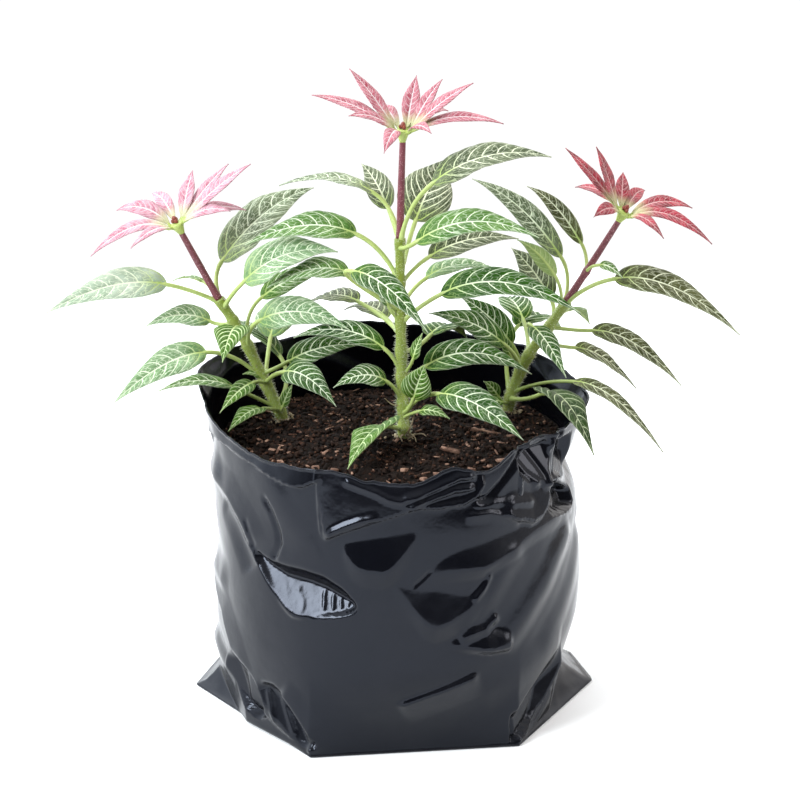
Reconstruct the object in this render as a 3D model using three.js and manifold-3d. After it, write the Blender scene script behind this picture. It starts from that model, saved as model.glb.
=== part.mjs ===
// A potted nerve plant: three leafy, hairy stems in dark soil, in a black polythene grow bag.
// Millimetres, +Z up. The origin is the middle of the bag's flat bottom, and the front of the
// bag looks along -Y.

import * as THREE from 'three';
import { mergeVertices } from 'three/addons/utils/BufferGeometryUtils.js';
import Module from 'manifold-3d';

const manifold = await Module();
manifold.setup();

// ---------------------------------------------------------------- driving sizes

const TOUCH_GAP = 0.3;           // clearance that pieces which touch keep
const DEG = Math.PI / 180;

const BAG_RADIUS = 81;           // a 254 mm wide lay-flat bag, filled: 2 x 254 / pi = 162 mm across
const BAG_WALL = 1.0;            // film with its folds, thicker than the bare film
const BAG_FLOOR = 1.2;
const EAR_THICKNESS = 1.5;       // the flat bottom corners, film on film
const EAR_BEVEL = 0.4;
const BAG_SIDES = 36;
const BODY_LEVELS = [3, 15, 34, 58, 82, 104];
const FULL_ROUND_HEIGHT = 46;    // above this the body is round, below it runs into its footprint
const BODY_BULGE = 1.5;          // how much wider the body stands at half its height
const NECK_DROP = 7;             // the film starts to flare this far under its top edge
const NECK_FLARE = 0.3;          // the share of the flare that it has reached there
const NECK_ABOVE_SOIL = 3;       // the neck stays at least this far above the soil's edge

const SOIL_EDGE = 120;           // height of the soil where it meets the film
const SOIL_MOUND = 5;            // how much higher it stands round the stems
const SOIL_LUMP = 0.7;
const SOIL_RINGS = [0.84, 0.56, 0.26]; // rings of its top, as shares of its radius
const MOUND_STEEPNESS = 2.2;
const LUMP_STEEPNESS = 6;        // how fast the lumps die out towards the film

const STEM_SIDES = 8;
const STEM_STEPS = 12;
const STALK_STEPS = 5;
const NODE_SWELL = 0.55;         // how much a stem thickens where leaves leave it
const NODE_REACH = 3.2;

const BLADE_THICKNESS = 0.7;
const RIB_THICKNESS = 1.3;
const PETIOLE_RADIUS = 1.15;
const THINNEST_PETIOLE = 0.55;   // a narrow leaf's stalk is thinner, down to this share
const PETIOLE_WIDTH_SCALE = 40;

const BRACT_THICKNESS = 0.7;
const BRACT_RIB = 0.9;
const BRACT_BASE_RADIUS = 0.8;
const CUP_RADIUS = 3.6;          // the green cup that the bracts grow from
const CUP_HEIGHT = 6;
const BUD_RADIUS = 1.7;
const BUD_STRETCH = 1.35;        // how much longer than wide the bud is

// ---------------------------------------------------------------- colours

const paint = (name, color, roughness) =>
  new THREE.MeshStandardMaterial({ name, color, roughness, metalness: 0 });

const filmPaint = paint('black film', 0x17191e, 0.2);
const soilPaint = paint('potting soil', 0x2b1c15, 0.95);
const stemPaint = paint('green stem', 0x8fa855, 0.6);
const stalkPaint = paint('dark red stalk', 0x7a2c38, 0.6);
const leafPaint = paint('veined leaf', 0x4f8248, 0.5);
const bractPaint = paint('pink bract', 0xcf5f78, 0.55);
const budPaint = paint('dark red bud', 0x6e1f1c, 0.6);

// ---------------------------------------------------------------- the bag's shape

// Corners of the bottom seen from above. The flat ears stick out past the body left and right.
const EAR_OUTLINE = [
  [-37, -75], [55, -64], [93, 3], [85, 33], [45, 73], [-45, 73], [-85, 28], [-93.5, -2],
];
const BODY_OUTLINE = [
  [-37, -73.5], [55, -62.5], [70, -32], [76, 3], [72, 34], [44, 71],
  [-44, 71], [-76, 34], [-82, -2], [-67, -42],
];

// The top edge all the way round: angle from +X in degrees, distance from the middle, height.
const RIM = [
  [-165, 84, 142], [-150, 81, 138], [-133, 80, 134.5], [-110, 80, 135], [-97, 80, 132],
  [-84, 80, 128], [-72, 80, 132], [-60, 80, 130], [-50, 80, 131], [-42, 79, 138],
  [-25, 82, 137], [-8, 87, 137], [10, 89, 138], [24, 87, 142], [43, 83, 148],
  [64, 80, 149], [85, 80, 152], [103, 80, 154], [130, 82, 150], [154, 86, 152],
  [172, 90, 150],
];

// Broad dents and bulges of the body: angle, height, half angle, half height, depth.
const DENTS = [
  [-16, 128, 18, 9, -10],         // the pinched neck on the right
  [-62, 118, 20, 8, -1.5],
  [-128, 92, 16, 18, -2.5],
  [-75, 70, 22, 16, -2],
  [-40, 52, 16, 22, 1.8],
  [178, 60, 24, 34, 1.5],
  [60, 84, 22, 22, -2.2],
  [112, 62, 24, 26, 1.8],
  [150, 104, 18, 16, -2],
  [92, 112, 18, 12, -1.6],
];

const smooth = (x) => {
  const t = Math.min(1, Math.max(0, x));
  return t * t * (3 - 2 * t);
};
const mix = (a, b, t) => a + (b - a) * t;
const bell = (x) => Math.exp(-x * x);
const turnBetween = (a, b) => {
  const turn = (a - b) % 360;
  return turn > 180 ? turn - 360 : turn < -180 ? turn + 360 : turn;
};

// Distance from the middle to a polygon's edge, along an angle in degrees.
function outlineRadius(outline, angle) {
  const dx = Math.cos(angle * DEG);
  const dy = Math.sin(angle * DEG);
  let radius = 0;
  outline.forEach(([x0, y0], k) => {
    const [x1, y1] = outline[(k + 1) % outline.length];
    const cross = dx * (y1 - y0) - dy * (x1 - x0);
    const along = (x0 * (y1 - y0) - y0 * (x1 - x0)) / cross;
    const part = (x0 * dy - y0 * dx) / cross;
    if (along > 0 && part >= -1e-9 && part <= 1 + 1e-9) radius = Math.max(radius, along);
  });
  return radius;
}

// Radius and height of the top edge at an angle, eased between the listed points.
function rimAt(angle) {
  for (let k = 0; k < RIM.length; k += 1) {
    const [a0, r0, z0] = RIM[k];
    const [a1, r1, z1] = RIM[(k + 1) % RIM.length];
    const span = (a1 - a0 + 360) % 360;
    const step = (angle - a0 + 720) % 360;
    if (step <= span) {
      const t = smooth(step / span);
      return { radius: mix(r0, r1, t), height: mix(z0, z1, t) };
    }
  }
  throw new Error('the rim has a gap');
}

function bodyRadius(angle, z) {
  const round = BAG_RADIUS + BODY_BULGE * Math.sin(Math.PI * Math.min(1, z / SOIL_EDGE));
  const foot = outlineRadius(BODY_OUTLINE, angle);
  let radius = mix(foot, round, smooth(z / FULL_ROUND_HEIGHT));
  for (const [at, height, halfAngle, halfHeight, depth] of DENTS) {
    radius += depth * bell(turnBetween(angle, at) / halfAngle) * bell((z - height) / halfHeight);
  }
  return radius;
}

// ---------------------------------------------------------------- solids from rings

// Skins a list of rings with equal counts. Each end closes on a point, or flat where none is given.
// flip(i, k) says which way the panel after ring i and corner k is split into its two triangles.
function ringSolid(rings, { start, end, flip = () => false }) {
  const count = rings[0].length;
  const points = rings.flat();
  const faces = [];
  for (let i = 0; i + 1 < rings.length; i += 1) {
    for (let k = 0; k < count; k += 1) {
      const a = i * count + k;
      const b = i * count + ((k + 1) % count);
      const c = a + count;
      const d = b + count;
      if (flip(i, k)) faces.push([a, b, d], [a, d, c]);
      else faces.push([a, b, c], [b, d, c]);
    }
  }
  const closeEnd = (first, tip, reversed) => {
    const push = (a, b, c) => faces.push(reversed ? [a, c, b] : [a, b, c]);
    if (tip) {
      points.push(tip);
      for (let k = 0; k < count; k += 1) push(first + k, points.length - 1, first + ((k + 1) % count));
      return;
    }
    // A blade's ring runs along its upper side and back along the lower one.
    for (let j = 0; j + 1 < count / 2; j += 1) {
      const low = count - 1 - j;
      push(first + j, first + low, first + j + 1);
      push(first + j + 1, first + low, first + low - 1);
    }
  };
  closeEnd(0, start, false);
  closeEnd((rings.length - 1) * count, end, true);

  const geometry = new THREE.BufferGeometry();
  const flat = points.flatMap((p) => [p.x, p.y, p.z]);
  geometry.setAttribute('position', new THREE.Float32BufferAttribute(flat, 3));
  const inside = volumeOf(points, faces) < 0;
  geometry.setIndex(inside ? faces.flatMap(([a, b, c]) => [a, c, b]) : faces.flat());
  return geometry;
}

function volumeOf(points, faces) {
  return faces.reduce((sum, [a, b, c]) =>
    sum + points[a].dot(new THREE.Vector3().crossVectors(points[b], points[c])) / 6, 0);
}

function toSolid(geometry) {
  const bare = geometry.clone();
  bare.deleteAttribute('normal');
  bare.deleteAttribute('uv');
  const merged = mergeVertices(bare, 1e-5);
  return new manifold.Manifold(new manifold.Mesh({
    numProp: 3,
    vertProperties: new Float32Array(merged.attributes.position.array),
    triVerts: new Uint32Array(merged.index.array),
  }));
}

function toGeometry(solid) {
  const mesh = solid.getMesh();
  const geometry = new THREE.BufferGeometry();
  geometry.setAttribute('position', new THREE.BufferAttribute(new Float32Array(mesh.vertProperties), 3));
  geometry.setIndex(Array.from(mesh.triVerts));
  return geometry;
}

// A cut can leave a scrap behind; only the piece itself is kept.
function largest(solid) {
  return solid.decompose().reduce((best, piece) => (piece.volume() > best.volume() ? piece : best));
}

const vec = (p) => new THREE.Vector3(...p);

// ---------------------------------------------------------------- bag and soil

// Even steps round the bag, with the nearest one moved onto each corner of the bottom.
const bagAngles = Array.from({ length: BAG_SIDES }, (_, k) => (360 / BAG_SIDES) * k);
for (const [x, y] of EAR_OUTLINE) {
  const corner = (Math.atan2(y, x) / DEG + 360) % 360;
  bagAngles[Math.round(corner / (360 / BAG_SIDES)) % BAG_SIDES] = corner;
}
const polar = (angle, radius, z) =>
  new THREE.Vector3(radius * Math.cos(angle * DEG), radius * Math.sin(angle * DEG), z);
const bagRing = (radiusAt, heightAt) =>
  bagAngles.map((angle) => polar(angle, radiusAt(angle), heightAt(angle)));

// The film runs up from the body to its own top edge, and inside it the same way down again.
function wallRings(inset) {
  const body = BODY_LEVELS.map((z) => bagRing((a) => bodyRadius(a, z) - inset, () => z));
  const soilLine = bagRing((a) => bodyRadius(a, SOIL_EDGE) - inset, () => SOIL_EDGE);
  return [...body, soilLine];
}

function neckRings(inset) {
  const neckHeight = (a) => Math.max(rimAt(a).height - NECK_DROP, SOIL_EDGE + NECK_ABOVE_SOIL);
  const neckRadius = (a) => mix(bodyRadius(a, neckHeight(a)), rimAt(a).radius, NECK_FLARE) - inset;
  return [
    bagRing(neckRadius, neckHeight),
    bagRing((a) => rimAt(a).radius - inset, (a) => rimAt(a).height),
  ];
}

function makeBag() {
  const earRing = (shrink, z) => bagRing((a) => outlineRadius(EAR_OUTLINE, a) - shrink, () => z);
  const outer = [
    earRing(0, 0),
    earRing(EAR_BEVEL, EAR_THICKNESS),
    ...wallRings(0),
    ...neckRings(0),
  ];
  const inner = [...wallRings(BAG_WALL), ...neckRings(BAG_WALL)].reverse();
  return ringSolid([...outer, ...inner], {
    start: new THREE.Vector3(0, 0, 0),
    end: new THREE.Vector3(0, 0, BAG_FLOOR),
    flip: (i) => i >= outer.length,
  });
}

function soilHeight(x, y, reach) {
  const mound = SOIL_MOUND * smooth((1 - reach) * MOUND_STEEPNESS);
  const lumps = Math.sin(x * 0.21 + 1) * Math.cos(y * 0.19) + 0.6 * Math.sin(x * 0.43 + y * 0.37);
  return SOIL_EDGE + mound + SOIL_LUMP * lumps * smooth((1 - reach) * LUMP_STEEPNESS);
}

function makeSoil(stemHoles) {
  const side = wallRings(BAG_WALL + TOUCH_GAP);
  for (const p of side[0]) p.z += TOUCH_GAP;
  const top = SOIL_RINGS.map((reach) => bagAngles.map((angle) => {
    const p = polar(angle, reach * (bodyRadius(angle, SOIL_EDGE) - BAG_WALL - TOUCH_GAP), 0);
    p.z = soilHeight(p.x, p.y, reach);
    return p;
  }));
  const body = ringSolid([...side, ...top], {
    start: new THREE.Vector3(0, 0, BAG_FLOOR + TOUCH_GAP),
    end: new THREE.Vector3(0, 0, soilHeight(0, 0, 0)),
  });
  return toGeometry(stemHoles.reduce((solid, hole) => solid.subtract(hole), toSolid(body)));
}

// ---------------------------------------------------------------- stems

// Each stem's axis from inside the soil up to its last pair of leaves, its thickness low and
// high, the heights at which leaves leave it, and the flower stalk that carries on from it.
const STEMS = {
  left: {
    axis: [[-50, 20, 97], [-52, 19, 125], [-57.5, 18, 138], [-62.5, 17, 150], [-68, 16, 163],
      [-74, 15.4, 174], [-79.5, 15, 183]],
    radius: [2.7, 2.0],
    nodes: [129, 142, 160, 172, 181],
    stalk: [[-88, 11.2, 201], [-95.3, 8.3, 216.6]],
    stalkRadius: [1.75, 1.35],
    heart: [-96, 8, 218.5],
  },
  centre: {
    axis: [[4.6, -8, 97], [4, -8, 125], [3.3, -8, 145], [2.6, -8, 170], [2.2, -7, 195],
      [2.2, -6, 216]],
    radius: [2.6, 2.0],
    nodes: [129, 140, 153, 165, 179, 196, 214],
    stalk: [[2.7, -6, 238], [3.4, -6, 260.4]],
    stalkRadius: [1.75, 1.4],
    heart: [3.4, -6, 262.5],
  },
  right: {
    axis: [[50.5, 38, 97], [53, 37, 125], [57, 34.5, 140], [62, 32, 152], [70, 29, 165],
      [78.5, 28, 178.5]],
    radius: [2.7, 2.0],
    nodes: [129, 143, 151, 160, 166, 177],
    stalk: [[90, 24, 199], [100.9, 20.3, 219]],
    stalkRadius: [1.75, 1.35],
    heart: [101.8, 20, 221],
  },
};

const curveThrough = (points) => new THREE.CatmullRomCurve3(points.map(vec), false, 'centripetal');

// A stalk starts just clear of its stem's end and runs on in the same line.
function stalkAxis(stem) {
  const end = vec(stem.axis[stem.axis.length - 1]);
  const onward = vec(stem.stalk[0]).sub(end).normalize();
  return [end.addScaledVector(onward, TOUCH_GAP).toArray(), ...stem.stalk];
}

// A rod with round sections along a curve. radiusAt takes the share of the length and the place.
function rod(curve, steps, sides, radiusAt) {
  const rings = [];
  for (let i = 0; i <= steps; i += 1) {
    const at = curve.getPointAt(i / steps);
    const ahead = curve.getTangentAt(i / steps);
    const across = new THREE.Vector3(0, 1, 0).cross(ahead).normalize();
    const front = new THREE.Vector3().crossVectors(ahead, across);
    const radius = radiusAt(i / steps, at);
    rings.push(Array.from({ length: sides }, (_, k) => {
      const turn = (2 * Math.PI * k) / sides;
      return at.clone()
        .addScaledVector(across, radius * Math.cos(turn))
        .addScaledVector(front, radius * Math.sin(turn));
    }));
  }
  return ringSolid(rings, { start: curve.getPointAt(0), end: curve.getPointAt(1) });
}

function stemRod(stem, extra) {
  return rod(curveThrough(stem.axis), STEM_STEPS, STEM_SIDES, (share, at) => {
    const swell = stem.nodes.reduce((sum, z) => sum + NODE_SWELL * bell((at.z - z) / NODE_REACH), 0);
    return mix(stem.radius[0], stem.radius[1], share) + swell + extra;
  });
}

function stalkRod(stem, extra) {
  return rod(curveThrough(stalkAxis(stem)), STALK_STEPS, STEM_SIDES, (share) =>
    mix(stem.stalkRadius[0], stem.stalkRadius[1], share) + extra);
}

// The point of a stem's axis at a height.
function axisAt(points, height) {
  const curve = curveThrough(points);
  let low = 0;
  let high = 1;
  for (let i = 0; i < 30; i += 1) {
    const middle = (low + high) / 2;
    if (curve.getPointAt(middle).z < height) low = middle;
    else high = middle;
  }
  return curve.getPointAt((low + high) / 2);
}

// ---------------------------------------------------------------- leaves

// One row per leaf: the height where it leaves its stem, where its blade starts, its tip, the
// blade's width, how far its rib arches above the straight line, and the way its upper side looks.
const LEAVES = {
  left: [
    [181, [-102, 10, 191], [-152, -2, 183], 19, 11, [0, -0.8, 0.6]],
    [181, [-78.5, 24, 198], [-37, 38, 229], 28, 12, [-0.7, -0.7, 0.3]],
    [179, [-67, 4, 194], [-25, -6, 210], 25, 12, [0, -0.5, 0.85]],
    [162, [-61, 24, 181], [-27, 36, 193], 12, 6, [0, -0.7, 0.7]],
    [172, [-84, 20, 171], [-113, 15, 170], 13, 8, [0, -0.6, 0.8]],
    [143, [-85, 8, 160], [-126, -10, 141], 18, 10, [0, -0.7, 0.7]],
    [130, [-72, 6, 143.5], [-104, -18, 150], 12, 8, [0, -0.3, 0.9]],
    [142, [-64, 4, 147], [-77, -23, 141.5], 9, 4, [0.4, -0.3, 0.9]],
    [142, [-50, 4, 152], [-26, -16, 142], 17, 9, [0.1, -0.6, 0.8]],
    [159, [-61, 7, 175], [-20, -8, 175], 18, 12, [0, -0.7, 0.7]],
    [143, [-58, 39, 158], [-54, 76, 156], 20, 12, [0, -0.2, 1]],
    [147, [-49, 16, 153], [-15, 19, 160], 15, 6, [0, -0.6, 0.8]],
    [131, [-54, 42, 148], [-80, 66, 158], 17, 10, [-0.2, 0.4, 0.9]],
  ],
  centre: [
    [214, [-10, 2, 235], [-51, 10, 236], 15, 10, [0, -0.1, 1]],
    [213, [16, -14, 242], [66, -26, 256], 19, 13, [0, -0.5, 0.85]],
    [196, [9, 10, 220], [23, 34, 243], 27, 5, [-0.1, -0.9, 0.4]],
    [212, [9, -17, 217], [61, -34, 223], 17, 16, [0, -0.6, 0.8]],
    [195, [15, 1, 206], [55, 14, 211], 14, 8, [0, -0.6, 0.8]],
    [180, [14, 14, 193], [53, 30, 189], 16, 12, [0, -0.1, 1]],
    [178, [20, -14, 193], [80, -27, 188], 18, 18, [0, -0.6, 0.8]],
    [196, [-17, -2, 217], [-66, 2, 211], 18, 12, [0, -0.5, 0.85]],
    [179, [-20, -4, 200], [-56, -7, 194], 18, 9, [0, -0.3, 0.9]],
    [184, [-18, -24, 206], [14, -47, 185], 16, 10, [0.2, -0.6, 0.8]],
    [173, [-17, 22, 180], [-44, 44, 171], 16, 8, [0, -0.2, 1]],
    [168, [-4, 22, 172], [-24, 50, 168], 15, 8, [0, -0.1, 1]],
    [153, [-5, -9, 167], [-45, -3, 170], 14, 12, [0, -0.5, 0.85]],
    [140, [-4, -13, 153], [-27, -23, 153], 13, 8, [0, -0.6, 0.8]],
    [129, [-2, -15, 132.5], [-20, -60, 128.5], 19, 12, [-0.3, -0.3, 0.9]],
    [136, [19, -22, 150], [55, -50, 138], 20, 9, [0.1, -0.55, 0.8]],
    [153, [13, -8, 158], [61, -3, 153], 17, 16, [0, -0.6, 0.8]],
    [165, [16, 22, 164], [34, 58, 152], 18, 10, [0, 0.1, 1]],
  ],
  right: [
    [177, [99, 20, 191], [155, 8, 168], 17, 16, [0.3, -0.6, 0.75]],
    [176, [76, 36, 197], [35, 43, 232], 14, 12, [-0.2, -0.6, 0.6]],
    [174, [70, 17, 190], [54, 0, 213], 12, 8, [-0.4, 0.5, 0.6]],
    [165, [72, 42, 176], [54, 54, 197], 16, 5, [-0.3, -0.8, 0.4]],
    [166, [90, 26, 165], [131, 18, 141], 13, 12, [0.2, -0.5, 0.8]],
    [159, [84, 42, 152], [114, 48, 130], 13, 8, [0.2, -0.3, 0.9]],
    [132, [81, 15, 144], [121, -4, 116.5], 11, 14, [0.4, -0.4, 0.8]],
    [129, [66, 0, 143], [86, -44, 129], 21, 18, [0.4, -0.5, 0.75]],
    [159, [62, 16, 170], [76, -8, 153], 13, 5, [0.3, -0.6, 0.7]],
    [144, [54, 34, 156], [30, 41, 177], 14, 6, [-0.2, -0.7, 0.6]],
    [151, [60, 52, 163], [50, 84, 163], 17, 10, [0, 0.1, 1]],
    [142, [50, 20, 160], [15, 9, 178], 16, 7, [0, -0.6, 0.8]],
    [130, [58, 58, 158], [82, 88, 147], 18, 12, [0.3, 0.3, 0.9]],
  ],
};

// The smallest leaves are one piece with the stem they grow on.
const YOUNG_LEAVES = {
  left: [
    [177, [-87, 23, 189], [-102, 31, 187], 7, 4, [0, 0.2, 1]],
    [166, [-71, 5, 172.5], [-76, -14, 162], 18, 7, [-0.2, -0.7, 0.6]],
    [129, [-60, 6, 134], [-74, -18, 131], 12, 5, [-0.2, -0.4, 0.9]],
  ],
  centre: [
    [211, [-3, 9, 226], [-15, 28, 242], 13, 5, [-0.2, -0.8, 0.4]],
    [144, [6, -17, 148.5], [9, -30.5, 163], 18, 3, [0, -0.9, 0.4]],
  ],
  right: [
    [174, [80, 40, 171], [92, 58, 159], 11, 6, [0.2, 0.3, 0.9]],
  ],
};

// The right stalk has a knuckle of its own, with one narrow leaf and one leaf just opening.
const STALK_KNUCKLE = 193;
const STALK_LEAVES = {
  right_stalk_leaf: [STALK_KNUCKLE, [85, 33, 204], [60, 41, 229], 9, 9, [-0.6, -0.3, 0.6]],
  right_young_leaf: [STALK_KNUCKLE, [92, 18, 198], [102, 14, 193], 6, 3, [0, -0.5, 0.8]],
};

const LEAF_STEPS = { stalk: [0, 0.5, 0.93], blade: [0.05, 0.2, 0.45, 0.75, 1] };
const LEAF_ACROSS = [-1, -0.55, 0, 0.55, 1];
const BRACT_STEPS = { stalk: [0], blade: [0.05, 0.24, 0.5, 0.76, 1] };
const BRACT_ACROSS = [-1, 0, 1];
const FOLD = 24 * DEG;           // each half rises from the rib by this, then curves down again
const HALF_DROP = 0.3;
const WAVE_SHARE = 0.07;         // height of the margin's waves, as a share of the blade's width
const WAVES = 3.2;
const WAVE_LAG = 1.4;            // one half's waves run this far behind the other's, in radians
const OPEN_SHARE = 0.12;         // the share of the blade over which it opens from its stalk
const RIB_FADE = 1.8;            // how fast the rib's thickness runs out to the blade's
const RIB_PEAK = 0.45;           // where along the blade its rib's arch is aimed
const KNEE_SHARE = 0.45;         // how much of the stalk runs straight into the blade
const LEAST_HALF_WIDTH = 0.35;

// Half-width along a blade, with a long drawn-out tip. A low belly puts the widest place near
// the base: a leaf is widest at a third, a bract further out.
const LEAF_BELLY = 0.6;
const BRACT_BELLY = 0.78;
const TIP_DRAW = 0.35;
const bladeOutline = (t, belly) =>
  Math.pow(Math.sin(Math.PI * Math.pow(t, belly)), 1 + TIP_DRAW * t);

const bend = (p0, p1, p2, t) => new THREE.QuadraticBezierCurve3(p0, p1, p2).getPoint(t);
const bendAlong = (p0, p1, p2, t) => new THREE.QuadraticBezierCurve3(p0, p1, p2).getTangent(t);

// A leaf or bract: one ring at each station, from its stalk out to its tip.
function makeBlade({
  root, start, tip, width, arch, faces, belly, stalkRadius, thickness, ribThickness, steps, across,
}) {
  const peak = start.clone().lerp(tip, RIB_PEAK).add(new THREE.Vector3(0, 0, arch));
  const lead = peak.clone().sub(start).normalize();
  const knee = start.clone().addScaledVector(lead, -KNEE_SHARE * root.distanceTo(start));
  const frame = (ahead) => {
    const up = faces.clone().addScaledVector(ahead, -faces.dot(ahead)).normalize();
    return { up, side: new THREE.Vector3().crossVectors(ahead, up) };
  };
  const halfCount = across.length;

  const stalkRing = (share) => {
    const at = bend(root, knee, start, share);
    const { up, side } = frame(bendAlong(root, knee, start, share));
    return Array.from({ length: 2 * halfCount }, (_, k) => {
      const turn = Math.PI * (1 - (k + 0.5) / halfCount);
      return at.clone()
        .addScaledVector(side, stalkRadius * Math.cos(turn))
        .addScaledVector(up, stalkRadius * Math.sin(turn));
    });
  };

  const bladeRing = (t) => {
    const at = bend(start, peak, tip, t);
    const { up, side } = frame(bendAlong(start, peak, tip, t));
    const half = Math.max(0.5 * width * bladeOutline(t, belly), LEAST_HALF_WIDTH);
    const open = smooth(t / OPEN_SHARE);
    const corner = (s, below) => {
      const far = Math.abs(s);
      const phase = 2 * Math.PI * WAVES * t + (s > 0 ? WAVE_LAG : 0);
      const wave = WAVE_SHARE * half * far * far * Math.sin(phase);
      const rise = half * open * (Math.sin(FOLD) * far - HALF_DROP * far * far) + wave;
      const depth = mix(mix(ribThickness, thickness, smooth(far * RIB_FADE)), thickness, t * t);
      return at.clone()
        .addScaledVector(side, half * s * Math.cos(FOLD * open))
        .addScaledVector(up, rise + (below ? -depth / 2 : depth / 2));
    };
    return [
      ...across.map((s) => corner(s, false)),
      ...[...across].reverse().map((s) => corner(s, true)),
    ];
  };

  const rings = [...steps.stalk.map(stalkRing), ...steps.blade.map(bladeRing)];
  return ringSolid(rings, { flip: (i, k) => k < halfCount });
}

function makeLeaf(axis, [height, start, tip, width, arch, faces]) {
  return makeBlade({
    root: axisAt(axis, height),
    start: vec(start),
    tip: vec(tip),
    width,
    arch,
    faces: vec(faces),
    belly: LEAF_BELLY,
    stalkRadius: PETIOLE_RADIUS * Math.min(1, THINNEST_PETIOLE + width / PETIOLE_WIDTH_SCALE),
    thickness: BLADE_THICKNESS,
    ribThickness: RIB_THICKNESS,
    steps: LEAF_STEPS,
    across: LEAF_ACROSS,
  });
}

// ---------------------------------------------------------------- bract rosettes

// Where each bract's tip lies from the heart of its rosette, its width and its arch.
const BRACTS = {
  left: [
    [[-38, -8, -12], 7.5, 12], [[-19, -18, -6], 6, 6], [[-28, 8, 5], 9.5, 9], [[6, 13, 22], 8.5, 3],
    [[22, 13, 25], 7, 3], [[33, -2, 28], 8, 4], [[24, -7, 8], 6.5, 6], [[-14, 25, 9], 7.5, 7],
    [[12, 27, 5], 7.5, 8], [[29, 17, 3], 7, 7],
  ],
  centre: [
    [[-23, 10, 26], 7.5, 3], [[-39, 2, 16], 7.5, 6], [[-23, -9, 9], 7, 6], [[-8, -15, -6], 7.5, 7],
    [[6, 11, 23], 8.5, 2], [[17, 7, 22], 7, 3], [[30, -3, 22], 8, 4], [[43, -6, 5], 7, 9],
    [[12, -17, 3], 6.5, 6], [[-13, 27, 6], 7.5, 8], [[20, 25, 5], 7.5, 8],
  ],
  right: [
    [[-26, 4, 29], 7, 3], [[-13, -3, 31], 8, 3], [[1, 14, 16], 7.5, 3], [[12, 21, 6], 7, 6],
    [[32, 7, 1], 7.5, 9], [[40, -4, -13], 7.5, 13], [[17, -14, -8], 6, 7], [[-14, -11, 1], 7, 5],
    [[-20, 19, 8], 7, 7], [[4, 29, 3], 7, 8],
  ],
};

// The cup under the bracts, a small spindle that stands along the end of the stalk: distances
// from its axis and heights, as shares of its radius and its height.
const CUP_TOP = 0.26;
const CUP_PROFILE = [[0, -0.5], [0.5, -0.5], [0.86, -0.22], [1, 0.1], [0.8, CUP_TOP], [0, CUP_TOP]];

function cupSolid(heart, lean) {
  const profile = CUP_PROFILE.map(([r, z]) => new THREE.Vector2(r * CUP_RADIUS, z * CUP_HEIGHT));
  const cup = new THREE.LatheGeometry(profile, 10);
  cup.rotateX(Math.PI / 2);
  cup.applyQuaternion(new THREE.Quaternion().setFromUnitVectors(new THREE.Vector3(0, 0, 1), lean));
  cup.translate(heart.x, heart.y, heart.z);
  return toSolid(cup);
}

// Bracts turn their upper sides a little to the front. Each one's stalk starts inside the cup and
// its blade just outside it: distances outward and along the lean.
const BRACT_TURN = new THREE.Vector3(0, -0.75, 0.2);
const BRACT_OPENNESS = 0.5;
const BRACT_ROOT = [0.9, -0.4];
const BRACT_START = [3.6, 0.9];

function makeRosette(stem, bracts) {
  const heart = vec(stem.heart);
  const lean = heart.clone().sub(vec(stem.stalk[0])).normalize();
  let solid = cupSolid(heart, lean);
  for (const [reach, width, arch] of bracts) {
    const away = vec(reach).normalize();
    const outward = away.clone().addScaledVector(lean, -away.dot(lean)).normalize();
    const faces = lean.clone().addScaledVector(outward, -BRACT_OPENNESS).add(BRACT_TURN);
    const beside = ([out, up]) => heart.clone().addScaledVector(outward, out).addScaledVector(lean, up);
    solid = solid.add(toSolid(makeBlade({
      root: beside(BRACT_ROOT),
      start: beside(BRACT_START),
      tip: heart.clone().add(vec(reach)),
      width,
      arch,
      faces,
      belly: BRACT_BELLY,
      stalkRadius: BRACT_BASE_RADIUS,
      thickness: BRACT_THICKNESS,
      ribThickness: BRACT_RIB,
      steps: BRACT_STEPS,
      across: BRACT_ACROSS,
    })));
  }
  return solid;
}

function budSolid(stem, extra) {
  const heart = vec(stem.heart);
  const lean = heart.clone().sub(vec(stem.stalk[0])).normalize();
  const bud = new THREE.SphereGeometry(BUD_RADIUS + extra, 8, 6);
  bud.rotateX(Math.PI / 2);
  bud.scale(1, 1, BUD_STRETCH);
  bud.applyQuaternion(new THREE.Quaternion().setFromUnitVectors(new THREE.Vector3(0, 0, 1), lean));
  const rise = CUP_TOP * CUP_HEIGHT + BUD_STRETCH * BUD_RADIUS + TOUCH_GAP;
  const seat = heart.clone().addScaledVector(lean, rise);
  bud.translate(seat.x, seat.y, seat.z);
  return toSolid(bud);
}

// ---------------------------------------------------------------- the plant in its bag

const plant = new THREE.Group();

function place(name, geometry, material) {
  geometry.computeVertexNormals();
  const mesh = new THREE.Mesh(geometry, material);
  mesh.name = name;
  plant.add(mesh);
}

const twoDigits = (k) => String(k).padStart(2, '0');

const holes = Object.values(STEMS).map((stem) => toSolid(stemRod(stem, TOUCH_GAP)));
place('grow_bag', makeBag(), filmPaint);
place('potting_soil', makeSoil(holes), soilPaint);

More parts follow.
